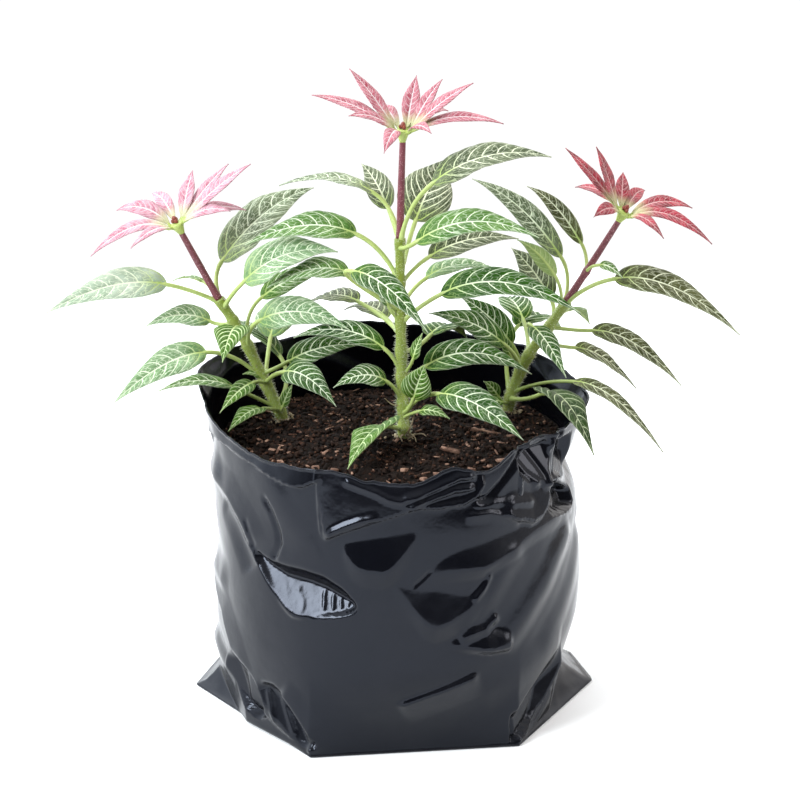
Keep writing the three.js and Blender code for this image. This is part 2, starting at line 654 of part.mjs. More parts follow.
for (const [side, stem] of Object.entries(STEMS)) {
  const stalkClear = toSolid(stalkRod(stem, TOUCH_GAP));
  const woodClear = toSolid(stemRod(stem, TOUCH_GAP)).add(stalkClear);

  const young = YOUNG_LEAVES[side].map((row) =>
    largest(toSolid(makeLeaf(stem.axis, row)).subtract(stalkClear)));
  const leafyStem = young.reduce((all, one) => all.add(one), toSolid(stemRod(stem, 0)));
  const rosette = makeRosette(stem, BRACTS[side])
    .subtract(stalkClear)
    .subtract(budSolid(stem, TOUCH_GAP));
  place(`${side}_stem`, toGeometry(leafyStem), stemPaint);
  place(`${side}_stalk`, stalkRod(stem, 0), stalkPaint);
  place(`${side}_bracts`, toGeometry(largest(rosette)), bractPaint);
  place(`${side}_bud`, toGeometry(budSolid(stem, 0)), budPaint);

  LEAVES[side].forEach((row, k) => {
    const leaf = toSolid(makeLeaf(stem.axis, row)).subtract(woodClear);
    place(`${side}_leaf_${twoDigits(k + 1)}`, toGeometry(largest(leaf)), leafPaint);
  });
}

const knuckleClear = toSolid(stalkRod(STEMS.right, TOUCH_GAP));
for (const [name, row] of Object.entries(STALK_LEAVES)) {
  const leaf = toSolid(makeLeaf(stalkAxis(STEMS.right), row)).subtract(knuckleClear);
  place(name, toGeometry(largest(leaf)), leafPaint);
}

export default plant;
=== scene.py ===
"""A potted nerve plant: three leafy, hairy stems in dark soil, in a black polythene grow bag.

The tables hold millimetres, as the solids do; add_piece() turns them into metres.
"""

import math
import random

import bmesh
import bpy
import numpy as np
from mathutils import Matrix, Vector, noise


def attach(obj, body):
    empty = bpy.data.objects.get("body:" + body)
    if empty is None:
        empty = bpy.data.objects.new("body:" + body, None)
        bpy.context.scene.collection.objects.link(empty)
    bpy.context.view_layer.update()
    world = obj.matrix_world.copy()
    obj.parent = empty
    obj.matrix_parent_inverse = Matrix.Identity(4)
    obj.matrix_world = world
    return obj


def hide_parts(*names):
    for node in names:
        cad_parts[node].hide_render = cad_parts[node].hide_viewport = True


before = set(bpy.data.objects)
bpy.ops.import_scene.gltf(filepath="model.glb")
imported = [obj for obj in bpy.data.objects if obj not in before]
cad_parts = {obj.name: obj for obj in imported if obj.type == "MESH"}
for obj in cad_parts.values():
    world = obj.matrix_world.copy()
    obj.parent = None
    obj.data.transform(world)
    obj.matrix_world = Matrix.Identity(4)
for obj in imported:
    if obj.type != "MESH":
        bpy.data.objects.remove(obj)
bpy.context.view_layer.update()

MM = 0.001
SEED = 7
UP = Vector((0, 0, 1))


# ---------------------------------------------------------------- curves and easing

def smooth(x):
    t = np.clip(x, 0.0, 1.0)
    return t * t * (3 - 2 * t)


def mix(a, b, t):
    return a * (1 - t) + b * t


def bell(x):
    return np.exp(-x * x)


def bend(p0, p1, p2, t):
    """A point of the arc that leaves p0 towards p1 and ends at p2."""
    return p0 * (1 - t) ** 2 + p1 * (2 * t * (1 - t)) + p2 * t ** 2


def bend_ahead(p0, p1, p2, t):
    return ((p1 - p0) * (1 - t) + (p2 - p1) * t).normalized()


def curve_through(points, steps=14):
    """Closely spaced points on a smooth curve through a few chosen ones."""
    knots = [Vector(p) for p in points]
    knots = [knots[0] * 2 - knots[1]] + knots + [knots[-1] * 2 - knots[-2]]
    line = []
    for a, b, c, d in zip(knots, knots[1:], knots[2:], knots[3:]):
        t0, t1 = 0.0, (b - a).length ** 0.5
        t2 = t1 + (c - b).length ** 0.5
        t3 = t2 + (d - c).length ** 0.5
        for k in range(steps):
            t = t1 + (t2 - t1) * k / steps
            ab = a.lerp(b, (t - t0) / (t1 - t0))
            bc = b.lerp(c, (t - t1) / (t2 - t1))
            cd = c.lerp(d, (t - t2) / (t3 - t2))
            line.append(ab.lerp(bc, (t - t0) / (t2 - t0)).lerp(
                bc.lerp(cd, (t - t1) / (t3 - t1)), (t - t1) / (t2 - t1)))
    return line + [knots[-2].copy()]


def point_at_height(line, height):
    for low, high in zip(line, line[1:]):
        if low.z <= height <= high.z:
            return low.lerp(high, (height - low.z) / (high.z - low.z))
    return line[0] if height < line[0].z else line[-1]


# ---------------------------------------------------------------- pieces

MERGE = 1e-4                     # corners nearer than this become one, mm
SLIVER = 1e-5
RIDGES = 4                       # ridges round a ribbed rod
RUN = 120                        # small shapes made at a time: an operator goes over its whole bmesh


def mesh_of(name, bm):
    mesh = bpy.data.meshes.new(name)
    bm.to_mesh(mesh)
    bm.free()
    return mesh


def put_in_scene(name, data):
    thing = bpy.data.objects.new(name, data)
    bpy.context.scene.collection.objects.link(thing)
    return thing


def add_piece(name, bm, materials, slot, *nodes):
    """Turns a finished bmesh in millimetres into a piece of the plant that stands for CAD nodes."""
    bmesh.ops.scale(bm, vec=(MM, MM, MM), verts=bm.verts)
    for face in bm.faces:
        face.smooth = True
    mesh = mesh_of(name, bm)
    for material in materials:
        mesh.materials.append(material)
    piece = put_in_scene(name, mesh)
    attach(piece, "root")
    if nodes:
        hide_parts(*nodes)


def add_rod(bm, stations, sides, material=0, ribbing=0.0):
    """A closed rod through stations of (place, ahead, radius), drawn to a point at both ends."""
    first, last = stations[0], stations[-1]
    stations = [(first[0], first[1], 0.0)] + stations + [(last[0], last[1], 0.0)]
    rows = len(stations) - 1
    frames = []
    across = first[1].orthogonal().normalized()
    for place, ahead, radius in stations:
        across = (across - ahead * across.dot(ahead)).normalized()
        frames.append((place, across.copy(), ahead.cross(across), radius))
    sheet = bmesh.ops.create_grid(bm, x_segments=sides, y_segments=rows, size=0.5)["verts"]
    for v in sheet:
        turn = 2 * math.pi * (v.co.x + 0.5)
        place, across, front, radius = frames[round((v.co.y + 0.5) * rows)]
        reach = radius * (1 + ribbing * math.cos(RIDGES * turn))
        v.co = place + across * (reach * math.cos(turn)) + front * (reach * math.sin(turn))
    for face in {face for v in sheet for face in v.link_faces}:
        face.material_index = material
    bmesh.ops.remove_doubles(bm, verts=sheet, dist=MERGE)


def close_up(bm):
    bmesh.ops.dissolve_degenerate(bm, dist=SLIVER, edges=bm.edges)
    bmesh.ops.recalc_face_normals(bm, faces=bm.faces)


def heap(placings, make_one):
    """A bmesh of many small shapes, one at each placing."""
    bm = bmesh.new()
    for k in range(0, len(placings), RUN):
        part = bmesh.new()
        for placing in placings[k:k + RUN]:
            make_one(part, placing)
        mesh = mesh_of("run_of_shapes", part)
        bm.from_mesh(mesh)
        bpy.data.meshes.remove(mesh)
    return bm


# ---------------------------------------------------------------- materials

class Nodes:
    """A node tree under construction: past put(), each method adds nodes and gives their output."""

    def __init__(self, tree):
        self.tree = tree

    def put(self, node, socket, value):
        """Sets a node's input to a number or a colour, or links it to another node's output."""
        entry = node.inputs[socket]
        if isinstance(value, bpy.types.NodeSocket):
            self.tree.links.new(value, entry)
        else:
            entry.default_value = (*value, 1) if entry.type == "RGBA" else value

    def node(self, kind, **inputs):
        node = self.tree.nodes.new(kind)
        for socket, value in inputs.items():
            self.put(node, socket.replace("_", " "), value)
        return node

    def in_order(self, kind, *values):
        """A node that takes its inputs by their order, such as one that adds two."""
        node = self.tree.nodes.new(kind)
        for socket, value in enumerate(values):
            self.put(node, socket, value)
        return node

    def math(self, how, a, b=0.0):
        node = self.in_order("ShaderNodeMath", a, b)
        node.operation = how
        return node.outputs[0]

    def largest(self, value, *others):
        for other in others:
            value = self.math("MAXIMUM", value, other)
        return value

    def ease(self, value, low, high, start=0.0, end=1.0):
        """Runs smoothly from start to end while value goes from low to high."""
        node = self.node("ShaderNodeMapRange", Value=value, From_Min=low, From_Max=high, To_Min=start,
                         To_Max=end)
        node.interpolation_type = "SMOOTHSTEP"
        return node.outputs["Result"]

    def blend(self, share, a, b):
        node = self.tree.nodes.new("ShaderNodeMix")
        node.data_type = "RGBA"
        for socket, value in ((0, share), (6, a), (7, b)):
            self.put(node, socket, value)
        return node.outputs[2]

    def place(self):
        return self.tree.nodes.new("ShaderNodeTexCoord").outputs["Object"]

    def stretched(self, place, upright):
        """Places for a pattern that is drawn out up and down."""
        return self.node("ShaderNodeMapping", Vector=place, Scale=(1, 1, upright)).outputs[0]

    def attribute(self, name):
        node = self.tree.nodes.new("ShaderNodeAttribute")
        node.attribute_name = name
        return node.outputs["Vector"]

    def split(self, vector):
        return self.node("ShaderNodeSeparateXYZ", Vector=vector).outputs

    def join(self, x, y, z=0.0):
        return self.node("ShaderNodeCombineXYZ", X=x, Y=y, Z=z).outputs[0]

    def cloud(self, vector, scale, detail=3.0, roughness=0.55):
        """Soft noise, from 0 to 1."""
        return self.node("ShaderNodeTexNoise", Vector=vector, Scale=scale, Detail=detail,
                         Roughness=roughness).outputs["Fac"]

    def cells(self, vector, scale, feature):
        node = self.tree.nodes.new("ShaderNodeTexVoronoi")
        node.feature = feature
        self.put(node, "Vector", vector)
        self.put(node, "Scale", scale)
        return node.outputs


class Finish(Nodes):
    """A material under construction, and its shader."""

    def __init__(self, name, roughness):
        self.material = bpy.data.materials.new(name)
        self.material.use_nodes = True
        super().__init__(self.material.node_tree)
        self.shader = self.tree.nodes["Principled BSDF"]
        self.set(Roughness=roughness)

    def relief(self, height, distance, strength=1.0):
        bump = self.node("ShaderNodeBump", Height=height, Distance=distance, Strength=strength)
        self.set(Normal=bump.outputs["Normal"])

    def color(self, value):
        self.set(Base_Color=value)

    def set(self, **sockets):
        for socket, value in sockets.items():
            self.put(self.shader, socket.replace("_", " "), value)


RIB_HALF = (0.5, 0.15)           # half-width of a leaf's midrib at its base and at its tip, mm
LATERAL_HALF = 0.25
LATERAL_TAPER = (5.0, 0.35)      # they thin this close to the margin, mm, down to this share
LATERAL_FADE = (0.97, 0.86)      # shares of the leaf's length between which the side veins end
RIB_EDGE = (0.08, -0.1)          # where a vein's colour starts and is full, across its edge, mm
LATERAL_EDGE = (0.1, -0.08)
VEIN_WANDER = 0.14               # how far a side vein strays, as a share of the step to the next one
WANDER_GRAIN = 0.9               # scale of the noise that it strays by
NET_CELL = 1.5                   # a net vein's mesh across the leaf, mm
NET_ROWS = 2.3                   # meshes of the net between two side veins
NET_WANDER = 1.2
NET_EDGE = (0.085, 0.015)
NET_SHIFT = 40.0                 # moves the net from one leaf to the next
NET_FADE = (1.0, 0.85)           # shares of the leaf's length between which the net ends
LEAF_GLOSS = 0.13                # specular level of the leaves


def vein_masks(finish, rib_half, lateral_half, net_strength):
    """Where the midrib, the side veins and the net between them run, from 0 to 1, and how far each
    place lies along the leaf, from its margin and from the next side vein."""
    across, phase, gauge = finish.split(finish.attribute("veins"))[:3]
    along, margin, tone = finish.split(finish.attribute("place"))[:3]
    half = finish.ease(along, 0.0, 1.0, *rib_half)
    rib = finish.ease(finish.math("SUBTRACT", finish.math("ABSOLUTE", across), half), *RIB_EDGE)

    wander = finish.cloud(finish.join(across, phase, tone), WANDER_GRAIN, 2.0)
    stray = finish.math("MULTIPLY", finish.math("SUBTRACT", wander, 0.5), VEIN_WANDER)
    bent = finish.math("ADD", phase, stray)
    off = finish.math("MULTIPLY", finish.math("PINGPONG", bent, 0.5), gauge)
    taper, thinned = LATERAL_TAPER
    side_half = finish.ease(margin, 0.0, taper, thinned * lateral_half, lateral_half)
    side = finish.ease(finish.math("SUBTRACT", off, side_half), *LATERAL_EDGE)
    side = finish.math("MULTIPLY", side, finish.ease(along, *LATERAL_FADE))

    net_across = finish.math("DIVIDE", across, NET_CELL)
    net_place = finish.join(
        finish.math("ADD", net_across, finish.math("MULTIPLY", wander, NET_WANDER)),
        finish.math("MULTIPLY", bent, NET_ROWS), finish.math("MULTIPLY", tone, NET_SHIFT))
    net = finish.ease(finish.cells(net_place, 1.0, "DISTANCE_TO_EDGE")["Distance"], *NET_EDGE)
    net = finish.math("MULTIPLY", net, finish.ease(along, *NET_FADE, 0.0, net_strength))
    return (rib, side, net), along, margin, off


def mix_color(a, b, t):
    return tuple(x + (y - x) * t for x, y in zip(a, b))


def leaf_finish(name, dark, light, vein, lime, roughness, net_strength):
    """The upper side of a leaf: green between pale veins, quilted, with a satin shine."""
    finish = Finish(name, roughness)
    masks, along, margin, off = vein_masks(finish, RIB_HALF, LATERAL_HALF, net_strength)
    patch = finish.cloud(finish.place(), 90.0)
    body = finish.blend(finish.ease(patch, 0.3, 0.72), dark, light)
    # Lighter beside the side veins and darker in the middle of each quilted puff between them: painted
    # shade of the quilting.
    body = finish.blend(finish.ease(off, 1.2, 0.2, 0.0, 0.3), body, light)
    pale = finish.blend(finish.ease(along, 0.34, 0.02), vein, lime)
    lines = finish.largest(*masks)
    edge = finish.ease(margin, 0.3, 0.08, 0.0, 0.4)
    finish.color(finish.blend(edge, finish.blend(lines, body, pale), mix_color(light, vein, 0.55)))
    fine = finish.cloud(finish.place(), 1400.0, 2.0)
    height = finish.math("SUBTRACT", finish.math("MULTIPLY", fine, 0.25), lines)
    finish.relief(height, 0.00024, 0.9)
    finish.set(Roughness=finish.ease(lines, 0.0, 1.0, roughness, roughness + 0.14),
               Specular_IOR_Level=LEAF_GLOSS)
    return finish.material


def leaf_underside():
    finish = Finish("leaf_underside", 0.6)
    lines = finish.largest(*vein_masks(finish, (0.8, 0.3), 0.34, 0.4)[0])
    body = finish.blend(finish.cloud(finish.place(), 70.0), (0.17, 0.26, 0.06), (0.31, 0.42, 0.13))
    finish.color(finish.blend(finish.math("MULTIPLY", lines, 0.7), body, (0.42, 0.50, 0.22)))
    finish.relief(lines, 0.0003, 0.8)
    return finish.material


def bract_finish(name, deep, pale, vein, heart):
    finish = Finish(name, 0.5)
    (rib, side, net), along, _, _ = vein_masks(finish, (0.42, 0.17), 0.17, 0.5)
    patch = finish.cloud(finish.place(), 260.0, 4.0)
    body = finish.blend(finish.ease(patch, 0.34, 0.66), deep, pale)
    lines = finish.largest(rib, finish.math("MULTIPLY", finish.largest(side, net), 0.75))
    color = finish.blend(finish.ease(along, 0.8, 1.0, 0.0, 0.6), finish.blend(lines, body, vein), deep)
    finish.color(finish.blend(finish.ease(along, 0.34, 0.08), color, heart))
    finish.relief(finish.math("MULTIPLY", lines, -1.0), 0.00015, 0.8)
    finish.set(Sheen_Weight=0.1, Sheen_Roughness=0.4)
    return finish.material


def stem_finish():
    finish = Finish("green_stem_skin", 0.45)
    place = finish.place()
    streak = finish.cloud(finish.stretched(place, 0.12), 900.0)
    young = finish.blend(streak, (0.105, 0.155, 0.009), (0.235, 0.30, 0.036))
    old = finish.blend(streak, (0.20, 0.27, 0.048), (0.42, 0.49, 0.145))
    body = finish.blend(finish.ease(finish.split(place)[2], 0.125, 0.2), old, young)
    scar = finish.ease(finish.cloud(place, 260.0, 4.0), 0.66, 0.74, 0.0, 0.6)
    finish.color(finish.blend(scar, body, (0.12, 0.09, 0.035)))
    finish.relief(streak, 0.0003, 0.5)
    finish.set(Subsurface_Weight=0.08, Subsurface_Scale=0.002)
    return finish.material


def stalk_finish():
    finish = Finish("dark_red_stalk_skin", 0.5)
    place = finish.place()
    body = finish.blend(finish.cloud(place, 140.0), (0.085, 0.013, 0.020), (0.20, 0.042, 0.058))
    dots = finish.ease(finish.cells(place, 1300.0, "F1")["Distance"], 0.3, 0.16, 0.0, 0.7)
    finish.color(finish.blend(dots, body, (0.46, 0.26, 0.27)))
    finish.relief(dots, 0.00012, 0.6)
    return finish.material


def mottled_finish(name, roughness, grain, dark, light, relief=None):
    """A skin that drifts between two colours; its relief has its own grain, depth and strength."""
    finish = Finish(name, roughness)
    finish.color(finish.blend(finish.cloud(finish.place(), grain), dark, light))
    if relief:
        relief_grain, depth, strength = relief
        finish.relief(finish.cloud(finish.place(), relief_grain), depth, strength)
    return finish.material


DULL_GLOSS = 0.16                # specular level of the soil and what lies in it


def soil_finish():
    finish = Finish("damp_soil", 0.85)
    place = finish.place()
    grain = finish.cloud(place, 520.0, 5.0, 0.7)
    dark = finish.blend(finish.cloud(place, 110.0), (0.0025, 0.0015, 0.0010), (0.009, 0.0045, 0.0028))
    # Lighter where the grain noise is high, the same noise that raises the relief: partly lighter grains,
    # partly a painted highlight on their raised tops.
    finish.color(finish.blend(finish.ease(grain, 0.48, 0.8), dark, (0.030, 0.014, 0.008)))
    finish.relief(grain, 0.0012)
    finish.set(Specular_IOR_Level=DULL_GLOSS)
    return finish.material


def crumb_finish(name, dark, light):
    """Crumbs and chips: each bit of the heap a little different, with a rough skin."""
    finish = Finish(name, 0.8)
    place = finish.place()
    bit = finish.split(finish.cells(place, 330.0, "F1")["Color"])[0]
    grain = finish.cloud(place, 900.0, 4.0)
    finish.color(finish.blend(finish.math("MULTIPLY", bit, grain), dark, light))
    finish.relief(grain, 0.0005, 0.9)
    finish.set(Specular_IOR_Level=DULL_GLOSS)
    return finish.material


def film_finish():
    """Black polythene: glossy, slightly smeared, with faint ripples."""
    finish = Finish("black_polythene", 0.14)
    place = finish.place()
    smear = finish.cloud(place, 26.0, 4.0)
    scuff = finish.cloud(finish.stretched(place, 0.3), 240.0)
    finish.color(finish.blend(finish.ease(smear, 0.4, 0.75), (0.0015, 0.0018, 0.0032),
                              (0.004, 0.0042, 0.0058)))
    rough = finish.math("ADD", finish.ease(smear, 0.35, 0.75, 0.12, 0.22),
                        finish.math("MULTIPLY", scuff, 0.06))
    ripples = finish.cloud(place, 95.0, 3.0, 0.5)
    grain = finish.cloud(place, 900.0, 2.0)
    finish.relief(finish.math("ADD", ripples, finish.math("MULTIPLY", grain, 0.03)), 0.0007, 0.3)
    finish.set(Roughness=rough, Specular_IOR_Level=0.27, Specular_Tint=(0.78, 0.84, 1.0))
    return finish.material


UNDERSIDE = leaf_underside()
STEM = stem_finish()
STALK = stalk_finish()
PETIOLE = mottled_finish("leaf_stalk_skin", 0.45, 160.0, (0.25, 0.34, 0.075), (0.46, 0.55, 0.19),
                         (1500.0, 0.0002, 0.4))
CUP = mottled_finish("green_cup_skin", 0.4, 300.0, (0.25, 0.36, 0.05), (0.46, 0.52, 0.17),
                     (300.0, 0.0002, 0.5))
BUD = mottled_finish("dark_red_bud_skin", 0.45, 700.0, (0.085, 0.010, 0.007), (0.30, 0.058, 0.028),
                     (700.0, 0.0003, 0.8))
HAIR = mottled_finish("fine_hairs", 0.5, 400.0, (0.62, 0.66, 0.46), (0.85, 0.86, 0.74))
CREAM = (0.70, 0.74, 0.54)
WHITE_VEIN = (0.73, 0.81, 0.61)
LEMON_VEIN = (0.60, 0.72, 0.40)
# Darker veins for the leaf in shadow: painted shade.
SHADED_VEIN = (0.42, 0.48, 0.30)
LIME = (0.36, 0.48, 0.12)
# Each leaf tone: its darkest and lightest green, its veins, its roughness and how strong its net is.
LEAF_TONES = {name: leaf_finish(f"leaf_{name}", dark, light, vein, LIME, roughness, net)
              for name, dark, light, vein, roughness, net in (
    ("fresh", (0.040, 0.112, 0.017), (0.102, 0.212, 0.042), WHITE_VEIN, 0.42, 0.42),
    ("bright", (0.026, 0.084, 0.003), (0.064, 0.158, 0.009), LEMON_VEIN, 0.42, 0.26),
    ("deep", (0.009, 0.046, 0.002), (0.032, 0.100, 0.007), WHITE_VEIN, 0.40, 0.26),
    # The shade tone is a darker copy with darker veins for a leaf that lies in shadow: painted shade.
    ("shade", (0.006, 0.021, 0.002), (0.022, 0.050, 0.006), SHADED_VEIN, 0.42, 0.2),
    # The pale tone and the silvery one below it have lighter greens that paint the satin sheen of leaves
    # catching the light: a painted sheen.
    ("pale", (0.095, 0.195, 0.070), (0.225, 0.345, 0.180), WHITE_VEIN, 0.36, 0.62),
    ("silver_sheen", (0.225, 0.310, 0.205), (0.41, 0.480, 0.380), WHITE_VEIN, 0.36, 0.65),
    ("dull", (0.046, 0.063, 0.030), (0.112, 0.138, 0.074), CREAM, 0.42, 0.40),
    ("grey", (0.080, 0.112, 0.055), (0.195, 0.240, 0.145), WHITE_VEIN, 0.42, 0.6),
    ("olive", (0.036, 0.042, 0.013), (0.092, 0.101, 0.040), CREAM, 0.42, 0.34),
)}
BRACT_TONES = {
    "left": bract_finish("bract_pale_pink", (0.38, 0.095, 0.150), (0.52, 0.26, 0.32), (0.70, 0.61, 0.63),
                         (0.54, 0.53, 0.32)),
    "centre": bract_finish("bract_pink", (0.29, 0.030, 0.058), (0.45, 0.130, 0.170), (0.69, 0.57, 0.58),
                           (0.50, 0.50, 0.27)),
    "right": bract_finish("bract_crimson", (0.16, 0.0025, 0.012), (0.38, 0.014, 0.038), (0.58, 0.32, 0.32),
                          (0.50, 0.48, 0.26)),
}


# ---------------------------------------------------------------- blades

RIB_PEAK = 0.45                  # share of the blade's length where its rib arches highest
KNEE_SHARE = 0.45                # the stalk bends this share of its length back from the blade
FOLD = math.radians(24)          # each half rises from the rib by this, then curves down again
HALF_DROP = 0.3
WAVE_SHARE = 0.05                # the margin waves by this share of the half-width
WAVES = 2.3
WAVE_LAG = 1.4                   # between the waves of the two halves, radians
OPEN_SHARE = 0.12                # the blade opens from its stalk over this share of its length
TIP_DRAW = 0.22                  # how much the tip is drawn out
LATERAL_RISE = (0.55, 0.75)      # how steeply a side vein runs forward at the rib, and its gain outward
LATERAL_LAG = 0.4                # the two halves' side veins don't leave the rib at the same places
MARGIN_RUFFLE = 0.012            # a finer wave, one for each side vein
LEAST_HALF = (0.32, 0.14)        # least half-width at a blade's base, and how much less at its tip, mm
FULL_QUILT_HALF = 5              # narrower places are quilted less
ROW_EASE = 1.15                  # rows lie closer together at the base
LENGTH_MARKS = 12
TONE_STEP = 0.377                # spreads the leaves' own tones evenly from 0 to 1


class Blade:
    """The curved sheet of a leaf or bract and the stalk that carries it."""

    def __init__(self, root, start, tip, width, arch, faces, belly, spacing, number):
        self.root = Vector(root)
        self.start = Vector(start)
        self.tip = Vector(tip)
        self.width = width
        self.faces = Vector(faces)
        self.belly = belly
        self.spacing = spacing
        self.tone = (number * TONE_STEP) % 1
        self.peak = self.start.lerp(self.tip, RIB_PEAK) + Vector((0, 0, arch))
        lead = (self.peak - self.start).normalized()
        self.knee = self.start - lead * (KNEE_SHARE * (self.start - self.root).length)
        marks = [bend(self.start, self.peak, self.tip, k / LENGTH_MARKS) for k in range(LENGTH_MARKS + 1)]
        self.length = sum((b - a).length for a, b in zip(marks, marks[1:]))

    def stalk(self, share):
        line = self.root, self.knee, self.start
        return bend(*line, share), bend_ahead(*line, share)

    def rib(self, t):
        at = bend(self.start, self.peak, self.tip, t)
        ahead = bend_ahead(self.start, self.peak, self.tip, t)
        up = (self.faces - ahead * self.faces.dot(ahead)).normalized()
        return at, ahead, up, ahead.cross(up)

    def half(self, t):
        outline = max(math.sin(math.pi * t ** self.belly), 0.0)
        least, loss = LEAST_HALF
        return max(0.5 * self.width * outline ** (1 + TIP_DRAW * t), least - loss * t)

    def side_vein(self, s, t):
        """How many side veins lie before a place, and the distance that one count stands for."""
        off = abs(s) * self.half(t)
        near, gain = LATERAL_RISE
        phase = (t * self.length - off * (near + gain * s * s)) / self.spacing
        slope = near + 3 * gain * s * s
        lag = LATERAL_LAG if s < 0 else 0.0
        return phase + lag, self.spacing / math.hypot(1, slope)

    def row(self, t, shares, quilt):
        """Places of the sheet at one station, with its up direction and its vein readings."""
        at, _, up, side = self.rib(t)
        half = self.half(t)
        open_share = float(smooth(t / OPEN_SHARE))
        cells = []
        for s in shares:
            far = abs(s)
            phase, gauge = self.side_vein(s, t)
            wave_at = 2 * math.pi * WAVES * t + (WAVE_LAG if s > 0 else 0)
            wave = WAVE_SHARE * half * far * far * math.sin(wave_at)
            wave += MARGIN_RUFFLE * half * far ** 4 * math.sin(2 * math.pi * phase)
            rise = half * open_share * (math.sin(FOLD) * far - HALF_DROP * far * far) + wave
            puff = quilt * math.sin(math.pi * phase) ** 2 * math.sin(math.pi * far) ** 0.7
            rise += puff * open_share * min(1.0, half / FULL_QUILT_HALF)
            at_s = at + side * (half * s * math.cos(FOLD * open_share)) + up * rise
            cells.append((at_s, (s * half, phase, gauge), (t, half * (1 - far), self.tone)))
        return up, cells


def add_blade(bm, blade, across, along, quilt, thickness):
    """The sheet itself: an upper and an under side, joined round the margin."""
    veins = bm.verts.layers.float_vector.new("veins")
    place = bm.verts.layers.float_vector.new("place")
    shares = [2 * k / across - 1 for k in range(across + 1)]
    rows = [blade.row((k / along) ** ROW_EASE, shares, quilt) for k in range(along + 1)]
    edges = set()
    for under in (0, 1):
        sheet = bmesh.ops.create_grid(bm, x_segments=across, y_segments=along, size=0.5)["verts"]
        for v in sheet:
            up, cells = rows[round((v.co.y + 0.5) * along)]
            spot, vein, mark = cells[round((v.co.x + 0.5) * across)]
            v.co = spot + up * (thickness * (0.5 - under))
            v[veins] = vein
            v[place] = mark
            for face in v.link_faces:
                face.material_index = under
        edges |= {edge for v in sheet for edge in v.link_edges if edge.is_boundary}
    bmesh.ops.bridge_loops(bm, edges=list(edges))


STALK_STEPS = 11
RIB_STEPS = 14
STALK_FLARE = (0.7, 0.13)        # gain in radius at the stem, and the share of the stalk that it fades over
RIB_TAPER = (0.9, 1.2, 0.12)     # share of the stalk's radius that tapers, how fast, and what is left
RIB_SINK = 0.62                  # the rib's middle lies this share of its radius under the blade


def add_stalk_and_rib(bm, blade, radius, sides, rib_end):
    """The leaf's stalk, flared where it leaves the stem, runs on as the rib under the blade."""
    stations = []
    gain, fade = STALK_FLARE
    for k in range(STALK_STEPS + 1):
        share = k / STALK_STEPS
        at, ahead = blade.stalk(share)
        stations.append((at, ahead, radius * (1 + gain * float(bell(share / fade)))))
    tapered, speed, left = RIB_TAPER
    for k in range(1, RIB_STEPS + 1):
        t = rib_end * k / RIB_STEPS
        at, ahead, up, _ = blade.rib(t)
        thick = radius * (tapered * (1 - t) ** speed + left)
        stations.append((at - up * (RIB_SINK * thick), ahead, thick))
    add_rod(bm, stations, sides, material=2)


# ---------------------------------------------------------------- stems

STEMS = {
    "left": {
        "axis": [(-50, 20, 97), (-52, 19, 125), (-57.5, 18, 138), (-62.5, 17, 150), (-68, 16, 163),
                 (-74, 15.4, 174), (-79.5, 15, 183)],
        "radius": (2.7, 2.0),
        "nodes": (129, 142, 160, 172, 181),
        "stalk": [(-88, 11.2, 201), (-95.3, 8.3, 216.6)],
        "stalk_radius": (1.75, 1.35),
        "heart": (-96, 8, 218.5),
        "hairs": 1500,
    },
    "centre": {
        "axis": [(4.6, -8, 97), (4, -8, 125), (3.3, -8, 145), (2.6, -8, 170), (2.2, -7, 195),
                 (2.2, -6, 216)],
        "radius": (2.6, 2.0),
        "nodes": (129, 140, 153, 165, 179, 196, 214),
        "stalk": [(2.7, -6, 238), (3.4, -6, 260.4)],
        "stalk_radius": (1.75, 1.4),
        "heart": (3.4, -6, 262.5),
        "hairs": 2400,
    },
    "right": {
        "axis": [(50.5, 38, 97), (53, 37, 125), (57, 34.5, 140), (62, 32, 152), (70, 29, 165),
                 (78.5, 28, 178.5)],
        "radius": (2.7, 2.0),
        "nodes": (129, 143, 151, 160, 166, 177),
        "stalk": [(90, 24, 199), (100.9, 20.3, 219)],
        "stalk_radius": (1.75, 1.35),
        "heart": (101.8, 20, 221),
        "hairs": 1500,
    },
}
NODE_SWELL = 0.55                # gain in radius where leaves leave the stem, and its half height
NODE_REACH = 3.2
RING_SWELL = 0.22                # a thin ring just over each thickening
RING_RISE = 1.2
RING_REACH = 0.7
KNUCKLE_SWELL = 0.45
KNUCKLE_REACH = 1.3
STALK_FOOT_SWELL = 0.25
STEM_SIDES = 20
STALK_SIDES = 16
TOUCH_GAP = 0.3                  # between pieces that touch, as in the solids
KNUCKLE = 193                    # height of the right stalk's own knuckle
HAIR_FOOT = 122                  # hairs start just above the soil
HAIR_RADIUS = 0.085
HAIR_TIP = 0.015
HAIR_LENGTH = (0.7, 1.9)
HAIR_THINNING = (1.25, 0.6)      # hairs are longer at the stem's foot than at its top
HAIR_CROWDING = 1.3              # above 1, more of them stand low on the stem
STALK_HAIRS = 28                 # on each leaf's stalk
STALK_HAIR_LENGTH = (0.35, 0.8)


def stalk_points(stem):
    end = Vector(stem["axis"][-1])
    onward = (Vector(stem["stalk"][0]) - end).normalized()
    return [end + onward * TOUCH_GAP] + [Vector(p) for p in stem["stalk"]]


def along_line(line, radius_at):
    """Stations on a line of points; radius_at takes the share of its length and the place."""
    stations = []
    for k, at in enumerate(line):
        ahead = (line[min(k + 1, len(line) - 1)] - line[max(k - 1, 0)]).normalized()
        stations.append((at, ahead, radius_at(k / (len(line) - 1), at)))
    return stations


def stem_radius(stem, share, height):
    swell = sum(NODE_SWELL * float(bell((height - z) / NODE_REACH)) for z in stem["nodes"])
    ring = sum(RING_SWELL * float(bell((height - z - RING_RISE) / RING_REACH)) for z in stem["nodes"])
    return mix(*stem["radius"], share) + swell + ring


